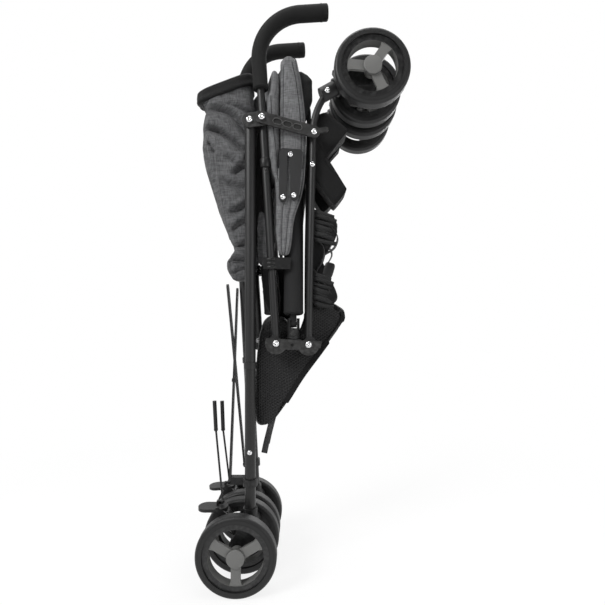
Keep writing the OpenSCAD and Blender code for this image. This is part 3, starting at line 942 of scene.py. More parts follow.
NET = NetFinish("basket_net", (0.011, 0.011, 0.0114), 0.5, pitch=1250.0, sheen=0.05, weave_depth=0.0006,
                specular=0.3)
WEBBING = ClothFinish("black_webbing", (0.008, 0.008, 0.0082), 0.62, tone=0.35, pitch=3400.0, sheen=0.05,
                      weave_depth=0.0005, specular=0.35)
GREY_WEBBING = ClothFinish("grey_webbing", (0.045, 0.045, 0.046), 0.7, tone=0.35, pitch=3400.0, sheen=0.08,
                           weave_depth=0.0005, specular=0.25)


class Wardrobe:
    """Makes each finish's material once."""

    def __init__(self) -> None:
        """Starts with no material made."""
        self.made: dict[str, bpy.types.Material] = {}

    def material(self, finish: Finish) -> bpy.types.Material:
        """The material of a finish.

        Args:
            finish: Finish wanted.

        Returns:
            Its material.
        """
        if finish.name not in self.made:
            self.made[finish.name] = finish.material()
        return self.made[finish.name]

    def dress(self, obj: bpy.types.Object, *finishes: Finish) -> bpy.types.Object:
        """Gives a piece its finishes, in the order of its faces' numbers.

        Args:
            obj: Piece to dress.
            finishes: Its finishes.

        Returns:
            The same piece.
        """
        obj.data.materials.clear()
        for finish in finishes:
            obj.data.materials.append(self.material(finish))
        return obj


WARDROBE = Wardrobe()


def carried(obj: bpy.types.Object, body: str, finish: Finish) -> bpy.types.Object:
    """Dresses a piece and lets it ride on a body.

    Args:
        obj: New piece.
        body: Body that carries it.
        finish: Its finish.

    Returns:
        The same piece.
    """
    WARDROBE.dress(obj, finish)
    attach(obj, body)
    LOG.info("%s rides on %s", obj.name, body)
    return obj


def spanning(obj: bpy.types.Object, y1: float, slot: str) -> bpy.types.Object:
    """Bakes a cloth piece's placement into its mesh.

    Args:
        obj: New piece, already dressed.
        y1: Not used.
        slot: Not used.

    Returns:
        The same piece.
    """
    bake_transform(obj)
    LOG.info("%s spans the push tubes", obj.name)
    return obj


@dataclass
class FrameDress:
    """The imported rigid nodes, each given its finish."""

    finishes: dict[str, Finish] = field(default_factory=lambda: {
        "rear_leg_upper": BLACK_TUBE, "rear_leg_lower": LOWER_TUBE_REFLECTION, "rear_housing": BLACK_PLASTIC,
        "leg_bracket": BRACKET_PLASTIC, "frame_rivets": RIVET_STEEL, "push_tube": BLACK_TUBE,
        "grip": GRIP_FOAM, "hood_bracket": BLACK_PLASTIC, "hood_stay": STAY_PLASTIC,
        "hinge_plate": BRACKET_PLASTIC, "hinge_rivets": RIVET_STEEL, "bumper_connector": BLACK_PLASTIC,
        "bumper_bar": BUMPER_FOAM, "bumper_button": BRACKET_PLASTIC, "front_leg": BLACK_TUBE,
        "rear_axle": AXLE_STEEL, "front_axle": AXLE_STEEL, "caster_housing": BLACK_PLASTIC,
        "swivel_lock": BLACK_PLASTIC, "brake_pedal": BLACK_PLASTIC, "brake_link": LINK_WIRE,
        "cross_bar": BLACK_BAR})

    def dress(self) -> None:
        """Dresses every rigid node apart from the wheels."""
        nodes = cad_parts
        for stem, finish in self.finishes.items():
            for side in Side:
                WARDROBE.dress(nodes[f"{stem}_{side.word}"], finish)
        WARDROBE.dress(nodes["fold_latch"], BRACKET_PLASTIC)
        LOG.info("dressed %d rigid nodes", 2 * len(self.finishes) + 1)


@dataclass
class Wheels:
    """Foam tyres on black rims with grey spokes."""

    tyre_t: float = 13.0
    rim_t: float = 10.5
    hub_out: float = 49.0
    rim_lip: float = 3.2
    diameters: dict[str, float] = field(default_factory=lambda: {"rear": 150.0, "front": 140.0})

    def centre(self, end: str, side: Side) -> Point:
        """Where an axle lies in the side plane.

        Args:
            end: Either rear or front.
            side: Side frame.

        Returns:
            The axle's x and z.
        """
        link = Link.REAR if end == "rear" else Link.FRONT
        return LAYOUT.place(side, link, LAYOUT_WHEELS[end])

    def dress(self) -> None:
        """Dresses tyres and rims on both sides."""
        for end, diameter in self.diameters.items():
            for side in Side:
                centre = self.centre(end, side)
                r = diameter / 2
                # Both rings are painted shade in grooves: one where the tyre meets the rim, one near the
                # tread
                tyre = TyreFinish(f"{end}_tyre_{side.word}", (0.0095, 0.0095, 0.0097), 0.5, grain=1500.0,
                                  grain_depth=0.0002, tone=0.3, rough_spread=0.08, specular=0.4,
                                  centre=centre, rings=(r - self.tyre_t + 0.9, r - 5.5))
                WARDROBE.dress(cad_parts[f"{end}_tyres_{side.word}"], tyre)
                inner = r - self.tyre_t - self.rim_t + self.rim_lip
                self.split_rim(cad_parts[f"{end}_rims_{side.word}"], centre, inner)
                self.caps(end, side, centre)

    def caps(self, end: str, side: Side, centre: Point) -> None:
        """Makes the flat covers over the axle ends of one wheel pair.

        Args:
            end: Either rear or front.
            side: Side frame.
            centre: Axle's place.
        """
        skin = Skin()
        profile = [(17.0, -3.4), (16.8, 1.6), (16.4, 2.2), (15.6, 2.5), (0.3, 2.6)]
        for out in (-1.0, 1.0):
            base = np.array([centre[0], side.value * LAYOUT.side_y + out * self.hub_out, centre[1]])
            skin.turned_round(profile, base, np.array([0.0, out, 0.0]), 48)
        carried(skin.build(f"{end}_hub_caps_{side.word}"), f"{end}_wheels_{side.word}",
                SPOKE_PLASTIC)

    @staticmethod
    def split_rim(rim: bpy.types.Object, centre: Point, inner: float) -> None:
        """Gives a rim's ring one finish and its spokes another.

        Args:
            rim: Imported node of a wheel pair's rims.
            centre: Axle's place.
            inner: Radius that the spokes stay within.
        """
        WARDROBE.dress(rim, RIM_BLACK, SPOKE_PLASTIC)
        middle = Vector(((centre[0] + CENTRE_X) * MM, centre[1] * MM))
        for face in rim.data.polygons:
            reach = max((Vector((rim.data.vertices[i].co.x, rim.data.vertices[i].co.z)) - middle).length
                        for i in face.vertices)
            face.material_index = int(reach < inner * MM)


@dataclass(frozen=True)
class RivetPlace:
    """A visible rivet: its stage, its place in the side plane, and how far out its face lies."""

    name: str
    link: Link
    at: Point
    out: float
    radius: float = 5.6
    sides: tuple[Side, ...] = (Side.RIGHT, Side.LEFT)
    body: str = ""


@dataclass
class Rivets:
    """Domed rivet heads on the frame's outer faces."""

    rise: float = 1.7
    places: tuple[RivetPlace, ...] = (
        RivetPlace("leg_rivet", Link.REAR, (-100.0, 889.0), 17.0),
        RivetPlace("push_pivot", Link.REAR, LAYOUT.pivot_a, 21.8, sides=(Side.RIGHT,)),
        RivetPlace("push_pivot_far", Link.REAR, LAYOUT.pivot_a, 17.0, sides=(Side.LEFT,)),
        RivetPlace("lower_pivot", Link.HINGE, LAYOUT.pivot_b, 15.0),
        RivetPlace("front_pivot", Link.HINGE, LAYOUT.pivot_c, 15.0),
        RivetPlace("stay_top", Link.PUSH, (-22.0, 825.0), 11.0, 4.9),
        RivetPlace("stay_foot_rear", Link.PUSH, (-36.5, 743.5), 11.0, 4.9),
        RivetPlace("stay_foot_front", Link.PUSH, (-15.5, 747.0), 11.0, 4.9),
        RivetPlace("front_leg_mid", Link.FRONT, (20.05, 808.0), 6.1, 5.0),
        RivetPlace("caster_block", Link.FRONT, (48.5, 946.0), 13.2, 5.2),
        RivetPlace("rear_leg_low", Link.REAR, (-100.0, 255.0), 10.1, 4.6),
        RivetPlace("latch_tip", Link.REAR, (23.23, 864.76), 18.4, 5.4, (Side.RIGHT,), "latch"))

    def head(self, place: RivetPlace, side: Side) -> Skin:
        """One domed head with a rolled edge and a small dimple.

        Args:
            place: Rivet's place.
            side: Side frame.

        Returns:
            Its skin.
        """
        x, z = LAYOUT.place(side, place.link, place.at)
        r, h = place.radius, self.rise
        profile = [(r, -0.8), (r, 0.25), (0.97 * r, 0.5), (0.8 * r, 0.8 * h), (0.55 * r, h),
                   (0.3 * r, 0.98 * h), (0.22 * r, 0.72 * h), (0.05 * r, 0.66 * h)]
        base = np.array([x, side.value * (LAYOUT.side_y + place.out), z])
        return Skin().turned_round(profile, base, np.array([0.0, side.value, 0.0]), sides=28)

    def build(self) -> None:
        """Makes each head and lets it ride on its body."""
        for place in self.places:
            for side in place.sides:
                obj = self.head(place, side).build(f"rivet_{place.name}_{side.word}")
                body = place.body or f"{place.link.value}_{side.word}"
                carried(obj, body, RIVET_STEEL)


@dataclass
class LatchTrim:
    """Raised rims round the fold latch's three oval recesses, lighter than the latch as a painted highlight.
    """

    tip: Point = (23.23, 864.76)
    shares: tuple[float, ...] = (0.3, 0.49, 0.68)
    half: float = 3.5
    radius: float = 5.2
    face: float = 18.3

    def build(self) -> None:
        """Makes the three rims."""
        start, end = np.array(LAYOUT.pivot_a), np.array(self.tip)
        along = (end - start) / np.linalg.norm(end - start)
        across = np.array([-along[1], along[0]])
        skin = Skin()
        for share in self.shares:
            ring = []
            for a in np.linspace(0, 2 * math.pi, 41):
                u = self.radius * math.cos(a) + math.copysign(self.half, math.cos(a))
                x, z = start + share * (end - start) + u * along + self.radius * math.sin(a) * across
                ring.append((x, -LAYOUT.side_y - self.face, z))
            skin.tube(np.array(ring), 0.75, 8)
        carried(skin.build("latch_recess_rims"), "latch", LATCH_RIM_HIGHLIGHT)


@dataclass
class Handles:
    """Trim of the foam grips and of the push tubes."""

    grip_r: float = 14.5
    push_lean: float = 3.54
    bend_r: float = 86.0
    bend_at: float = 546.0
    foot_at: float = 492.0
    tail: float = 50.0
    seam_back: float = 10.0
    sleeve_z: tuple[float, ...] = (609.5, 617.0, 624.5)
    clip_z: float = 811.0

    def along(self, side: Side, ahead: float, up: float) -> np.ndarray:
        """A point of the push tube's own frame.

        Args:
            side: Side frame.
            ahead: Distance in front of the tube's line.
            up: Distance above the lower pivot along the tube.

        Returns:
            The point in the drawing.
        """
        v = LAYOUT.turned((ahead, up), -self.push_lean)
        x, z = LAYOUT.place(side, Link.PUSH, (LAYOUT.pivot_b[0] + v[0], LAYOUT.pivot_b[1] + v[1]))
        return np.array([x, side.value * LAYOUT.side_y, z])

    def axis(self, ahead: float, up: float) -> np.ndarray:
        """A direction of the push tube's own frame."""
        x, z = LAYOUT.turned((ahead, up), -self.push_lean)
        return np.array([x, 0.0, z])

    def build(self) -> None:
        """Makes the grips' end caps and lower hems, the sleeve rings and the clips."""
        for side in Side:
            self.grip_trim(side)
            self.sleeve(side)
            self.clip(side)

    def grip_trim(self, side: Side) -> None:
        """Makes a grip's seam ring, rounded end cap and lower hem.

        Args:
            side: Side frame.
        """
        r = self.grip_r
        top = self.bend_at + self.bend_r
        skin = Skin()
        seam = self.along(side, self.bend_r + self.tail - self.seam_back, top)
        skin.turned_round([(r - 1, -1.6), (r + 0.35, -1.5), (r + 0.7, -0.9), (r + 0.15, 0.0), (r + 0.7, 0.9),
                           (r + 0.35, 1.5), (r - 1, 1.6)], seam, self.axis(1, 0), 40)
        tip = self.along(side, self.bend_r + self.tail, top)
        skin.turned_round([(r, -0.2), (r - 0.3, 0.9), (r - 1.6, 2.4), (r - 4, 3.4), (r - 9, 3.9), (0.4, 4.0)],
                          tip, self.axis(1, 0), 40)
        foot = self.along(side, 0.0, self.foot_at)
        skin.turned_round([(8.0, -1.4), (r - 3.5, -1.6), (r - 0.8, -0.9), (r + 0.4, 0.6), (r + 0.5, 2.2),
                           (r - 0.5, 3.4)], foot, self.axis(0, 1), 40)
        carried(skin.build(f"grip_trim_{side.word}"), f"push_{side.word}", GRIP_FOAM)

    def sleeve(self, side: Side) -> None:
        """Makes the three moulded rings of the hood bracket's sleeve.

        Args:
            side: Side frame.
        """
        skin = Skin()
        for z in self.sleeve_z:
            up = (z - LAYOUT.pivot_b[1]) / math.cos(math.radians(self.push_lean))
            skin.turned_round([(11.5, -3.0), (12.9, -2.8), (13.5, -1.6), (13.6, 0.0), (13.5, 1.6),
                               (12.9, 2.8), (11.5, 3.0)], self.along(side, 0.0, up), self.axis(0, 1), 40)
        carried(skin.build(f"sleeve_rings_{side.word}"), f"push_{side.word}", BLACK_PLASTIC)

    def clip(self, side: Side) -> None:
        """Makes the spring clip on the push tube.

        Args:
            side: Side frame.
        """
        up = (self.clip_z - LAYOUT.pivot_b[1]) / math.cos(math.radians(self.push_lean))
        base = self.along(side, 0.0, up)
        skin = Skin().turned_round([(7.7, -9), (9.6, -8.6), (10.2, -7.6), (10.2, 7.6), (9.6, 8.6), (7.7, 9)],
                                   base, self.axis(0, 1), 32)
        for drop, reach in ((-13.0, 3.4), (-19.0, 2.4)):
            at = self.along(side, 1.5, up + drop) + np.array([0.0, side.value * 6.6, 0.0])
            skin.turned_round([(reach, -1.4), (reach, 0.6), (0.7 * reach, 1.6), (0.1, 2.0)], at,
                              np.array([0.0, side.value, 0.0]), 20)
        carried(skin.build(f"tube_clip_{side.word}"), f"push_{side.word}", BLACK_PLASTIC)


@dataclass
class BumperTrim:
    """Rounded foam ends of the bumper halves and the grooves of their connectors."""

    hinge: Point = (-16.543, 502.018)
    lean: float = 8.0
    foam_r: float = 19.0
    length: float = 248.0
    start: float = 20.0

    def build(self) -> None:
        """Makes the end caps and collars on both sides."""
        for side in Side:
            self.caps(side)
            self.collar(side)

    def caps(self, side: Side) -> None:
        """Makes the rounded ends of one foam half.

        Args:
            side: Side frame.
        """
        lean, turn = math.radians(self.lean), math.radians(0 if side is Side.RIGHT else LAYOUT.hinge_turn)
        x, z = LAYOUT.place(side, Link.HINGE, self.hinge)
        axis = np.array([math.cos(lean) * math.sin(turn), -side.value * math.sin(lean),
                         math.cos(lean) * math.cos(turn)])
        foot = np.array([x, side.value * LAYOUT.side_y, z]) + self.start * axis
        r = self.foam_r
        skin = Skin()
        end = foot + self.length * axis
        skin.turned_round([(r, -0.5), (r - 0.3, 1.6), (r - 1.8, 4.2), (r - 5, 6.2), (r - 11, 7.3),
                           (0.4, 7.6)], end, axis, 40)
        skin.turned_round([(r - 6, -2.6), (r - 2.6, -2.4), (r - 0.8, -1.2), (r + 0.35, 0.8), (r + 0.45, 2.8),
                           (r - 0.5, 4.4)], foot, axis, 40)
        carried(skin.build(f"bumper_ends_{side.word}"), f"bumper_{side.word}", BUMPER_FOAM)

    def collar(self, side: Side) -> None:
        """Makes the moulded rings of one connector.

        Args:
            side: Side frame.
        """
        turn = math.radians(0 if side is Side.RIGHT else LAYOUT.hinge_turn)
        axis = np.array([math.sin(turn), 0.0, math.cos(turn)])
        skin = Skin()
        for z, r in ((481.5, 12.6), (474.6, 13.0)):
            x, up = LAYOUT.place(side, Link.HINGE, (self.hinge[0], z))
            skin.turned_round([(11.2, -1.6), (r, -1.3), (r + 0.3, 0.0), (r, 1.3), (11.2, 1.6)],
                              np.array([x, side.value * LAYOUT.side_y, up]), axis, 36)
        carried(skin.build(f"connector_rings_{side.word}"), f"hinge_{side.word}",
                BLACK_PLASTIC)


@dataclass(frozen=True)
class Crease:
    """A valley pressed into cloth along a line in the side plane."""

    line: tuple[Point, ...]
    depth: float
    width: float

    def press(self, x: np.ndarray, z: np.ndarray) -> np.ndarray:
        """How deep the crease lies at each place, with a soft ridge above it.

        Args:
            x: Places along the stroller.
            z: Heights.

        Returns:
            Depth in millimetres; the ridge counts as less than nothing.
        """
        path = curve_through(self.line, 40)
        p = np.stack([x, z], axis=-1)
        d = p[:, None, :] - path[None]
        near = np.argmin((d ** 2).sum(-1), axis=1)
        gap = np.sqrt((d[np.arange(len(p)), near] ** 2).sum(-1))
        over = np.sign(d[np.arange(len(p)), near][:, 1])
        share = near / (len(path) - 1)
        fade = np.clip(np.minimum(share, 1 - share) * 5 + 0.15, 0, 1)
        ridge = np.where(over > 0, np.exp(-((gap - 1.6 * self.width) / self.width) ** 2), 0.0)
        return fade * self.depth * (np.exp(-gap / (0.8 * self.width)) - 0.5 * ridge)


def sew(skin: Skin, surface: Surface, line: Table, side: Side, thread: tuple[float, float, int], count: int,
        lift: float) -> None:
    """Adds a sewn line that lies on a surface.

    Args:
        skin: Skin to add to.
        surface: Cloth that it is sewn to.
        line: Line in the side plane.
        side: Side that it lies on.
        thread: Half width, half thickness and number of sides.
        count: Number of points along it.
        lift: Distance off the surface.
    """
    path, normals = surface.path(curve_through(line, count), side, lift)
    if len(path) < FEWEST_HITS:
        return
    wide, thick, sides = thread
    a = around(sides)
    across = unit(np.cross(np.gradient(path, axis=0), normals))
    skin.sweep(path, across, normals, np.stack([wide * np.cos(a), thick * np.sin(a)], axis=1))


def curled(name: str, obj: bpy.types.Object, voxel: float, growth: float, pressure: float,
           cap: float, held: Callable[[np.ndarray], np.ndarray], frames: int = 20) -> bpy.types.Object:
    """Lets cloth that is a little too large for its form settle into small wrinkles.

    Args:
        name: Name for the log.
        obj: Closed piece.
        voxel: Size of its new faces in millimetres.
        growth: Share by which the cloth is too large.
        pressure: Pressure inside.
        cap: Farthest that a point may move, in millimetres.
        held: Gives 1 where the cloth is sewn down and 0 where it is free, from points in metres.
        frames: Number of steps.

    Returns:
        The same piece with its settled mesh.
    """
    remesh = obj.modifiers.new("even", "REMESH")
    remesh.mode, remesh.voxel_size = "VOXEL", voxel * MM
    applied(obj)
    rest = points_of(obj)
    pins = obj.vertex_groups.new(name="held")
    for i, weight in enumerate(held(rest)):
        pins.add([i], float(weight), "REPLACE")
    cloth = obj.modifiers.new("settle", "CLOTH")
    cloth.settings.quality = 6
    cloth.settings.mass = 0.25
    cloth.settings.bending_stiffness = 0.4
    cloth.settings.shrink_min = cloth.settings.shrink_max = -growth
    cloth.settings.use_pressure = True
    cloth.settings.uniform_pressure_force = pressure
    cloth.settings.vertex_group_mass = pins.name
    cloth.settings.effector_weights.gravity = 0.0
    cloth.collision_settings.use_collision = False
    cloth.collision_settings.use_self_collision = False
    scene = bpy.context.scene
    for step in range(1, frames + 1):
        scene.frame_set(step)
    graph = bpy.context.evaluated_depsgraph_get()
    settled = np.array([v.co for v in obj.evaluated_get(graph).data.vertices])
    obj.modifiers.clear()
    scene.frame_set(1)
    move = settled - rest
    far = np.linalg.norm(move, axis=1, keepdims=True)
    move *= np.minimum(1.0, cap * MM / np.maximum(far, 1e-9))
    move_to(obj, rest + move)
    LOG.info("%s settled, farthest point %.1f mm", name, far.max() / MM)
    return subdivided(obj)


@dataclass
class Backrest:
    """The seat's back, hanging behind the rear legs as a loose sack with a rolled foot and a lined cuff."""

    half_width: float = 43.6
    low: float = 590.0
    high: float = 957.0
    flap_slope: float = 0.38
    left_half_x: float = -102.0
    squareness: float = 0.46
    flank_in: float = 16.0
    fold_gain: float = 1.4
    slack: float = 2.6
    crumple: float = 1.6
    deepest: float = 18.0
    held_low: float = 0.615
    held_high: float = 0.925
    held_fade: float = 0.02
    left: Table = ((590, -140), (606, -150), (628, -152), (642, -146), (650, -140), (660, -141), (674, -146),
                   (713, -161), (764, -177), (814, -193), (859, -203), (898, -202), (932, -194), (957, -211))
    right: Table = ((590, -112), (612, -87), (740, -87), (770, -93), (900, -93), (940, -99), (957, -99))
    wide: Table = ((590, 0.6), (640, 0.95), (700, 1), (850, 1), (880, 0.84), (957, 0.8))
    creases: tuple[Crease, ...] = (
        Crease(((-190, 931), (-163, 930), (-137, 917), (-112, 886), (-98, 868)), 13.0, 7.0),
        Crease(((-200, 889), (-176, 890), (-150, 876), (-118, 850), (-96, 838)), 15.0, 6.5),
        Crease(((-160, 944), (-138, 936), (-112, 926), (-96, 915)), 7.0, 6.0),
        Crease(((-188, 864), (-178, 850), (-172, 836)), 7.0, 6.0),
        Crease(((-150, 838), (-134, 822), (-104, 806)), 7.0, 7.0),
        Crease(((-104, 838), (-118, 812), (-140, 792)), 6.5, 7.0),
        Crease(((-158, 790), (-136, 776), (-104, 768)), 7.0, 7.0),
        Crease(((-100, 744), (-122, 728), (-148, 722)), 7.0, 7.0),
        Crease(((-98, 706), (-120, 700), (-140, 684)), 7.0, 6.5),
        Crease(((-148, 664), (-132, 656), (-108, 660)), 10.0, 5.0),
        Crease(((-150, 622), (-134, 630), (-110, 626)), 8.0, 5.0),
        Crease(((-138, 602), (-122, 610), (-104, 608)), 4.0, 5.0))
    seam: Table = ((-172, 880), (-171, 850), (-167, 800), (-160, 750), (-152, 705), (-146, 672))
    side_seam: Table = ((-186, 872), (-190, 850), (-186, 810), (-176, 760), (-164, 712), (-152, 676))

    def ring(self, z: float, count: int) -> np.ndarray:
        """The sack's outline at a height, before its flap lifts.

        Args:
            z: Height.
            count: Number of points.

        Returns:
            The ring's points.
        """
        a = around(count)
        y = self.half_width * level(self.wide, z) * squared(np.sin(a), self.squareness)
        x0 = level(self.left, z)
        share = np.clip((12 - y) / 8, 0, 1)
        x1 = level(self.right, z) * (1 - share) + max(self.left_half_x, x0 + 40) * share
        x = (x0 + x1) / 2 - (x1 - x0) / 2 * squared(np.cos(a), self.squareness)
        lift = self.flap_slope * (x - x0) * max(0.0, (z - self.high + 55) / 55)
        return np.stack([x, -y, z + lift], axis=1)

    def sack(self) -> bpy.types.Object:
        """Makes the grey sack with its main folds.

        Returns:
            The piece.
        """
        rings = np.array([self.ring(z, 150) for z in np.linspace(self.low, self.high, 120)])
        shape = rings.shape
        p = rings.reshape(-1, 3)
        flank = np.clip(np.abs(p[:, 1]) / self.flank_in, 0, 1)
        p[:, 0] += (1 - flank) * np.where(p[:, 0] < -150, 1.0, -1.0) * np.clip(2.2 * ripple(p, 34.0), -1, 4)
        return Skin().loft(p.reshape(shape)).build("backrest_sack")

    def fold(self, sack: bpy.types.Object) -> None:
        """Presses the main folds into the finished sack.

        Args:
            sack: The sack.
        """
        p = points_of(sack) / MM - (CENTRE_X, 0.0, 0.0)
        depth = sum(c.press(p[:, 0], p[:, 2]) for c in self.creases)
        depth = self.fold_gain * depth + self.slack + self.crumple * ripple(p * (1.0, 0.6, 1.0), 26.0)
        flank = np.clip(np.abs(p[:, 1]) / self.flank_in, 0, 1)
        p[:, 1] -= np.sign(p[:, 1]) * np.clip(depth, 0, self.deepest) * flank
        move_to(sack, row(p))

    def cuff(self) -> bpy.types.Object:
        """Makes the black lining turned out over the sack's top, with its padded rim.

        Returns:
            The piece.
        """
        top = self.ring(self.high, 120)
        ahead = np.roll(top, -1, axis=0) - np.roll(top, 1, axis=0)
        out = unit(np.stack([ahead[:, 1], -ahead[:, 0], np.zeros(len(top))], axis=1))
        if ((top - top.mean(0)) * out).sum() < 0:
            out = -out
        smooth = out
        for _ in range(6):
            smooth = (np.roll(smooth, 1, axis=0) + smooth + np.roll(smooth, -1, axis=0)) / 3
        profile = ((-2.5, -20), (0.2, -19.6), (1.8, -18), (2.6, -15), (2.2, -11), (2.0, -7), (2.6, -3),
                   (2.8, 1), (1.8, 4), (-0.6, 5.6), (-3.2, 5.0), (-5.4, 2.4), (-6.6, -2), (-7.4, -8),
                   (-8.6, -14), (-11.5, -18), (-16, -20))
        short = 1 - 0.85 * np.clip((top[:, 1] + 36) / 50, 0, 1) * np.clip((-140 - top[:, 0]) / 40, 0, 1)
        rings = []
        for k, (offset, up) in enumerate(profile):
            wave = 1.2 * ripple(top + (0.0, 0.0, 7.0 * k), 30.0) * (k < 8)
            ring = top + smooth * (offset + wave)[:, None]
            ring[:, 2] += up * (short if k < 6 else 1.0)
            rings.append(ring)
        return Skin().loft(np.array(rings)).build("backrest_cuff")

    def seams(self, surface: Surface) -> bpy.types.Object:
        """Makes the stitched seams on both sides of the sack.

        Args:
            surface: The sack's outside.

        Returns:
            The piece.
        """
        skin = Skin()
        for side in Side:
            for line, width in ((self.seam, 1.5), (self.side_seam, 1.2)):
                sew(skin, surface, line, side, (width, 0.8, 10), 60, 0.15)
        return skin.build("backrest_seams")

    def build(self) -> None:
        """Makes the sack, its cuff and its seams."""
        sack = self.sack()
        curled("backrest", sack, voxel=4.2, growth=0.05, pressure=1.2, cap=5.0, held=self.sewn_down)
        self.keep_in(sack)
        self.fold(sack)
        WARDROBE.dress(sack, GREY_CLOTH)
        seams = WARDROBE.dress(self.seams(Surface(sack)), GREY_SEAM)
        cuff = WARDROBE.dress(self.cuff(), LINING)
        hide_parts("backrest")
        for piece, slot in ((sack, "grey_cloth"), (seams, "grey_cloth"), (cuff, "black_cloth")):
            spanning(piece, 44.0, slot)

    def sewn_down(self, p: np.ndarray) -> np.ndarray:
        """How firmly the sack is held at points in metres, from 0 to 1."""
        outside = np.maximum(self.held_low - p[:, 2], p[:, 2] - self.held_high)
        return np.clip(outside / self.held_fade, 0, 1)

    def keep_in(self, sack: bpy.types.Object) -> None:
        """Keeps the settled sack between the legs.

        Args:
            sack: The sack.
        """
        p = points_of(sack)
        most = level(self.wide, p[:, 2] / MM) * (self.half_width + 0.3) * MM
        p[:, 1] = np.clip(p[:, 1], -most, most)
        move_to(sack, p)


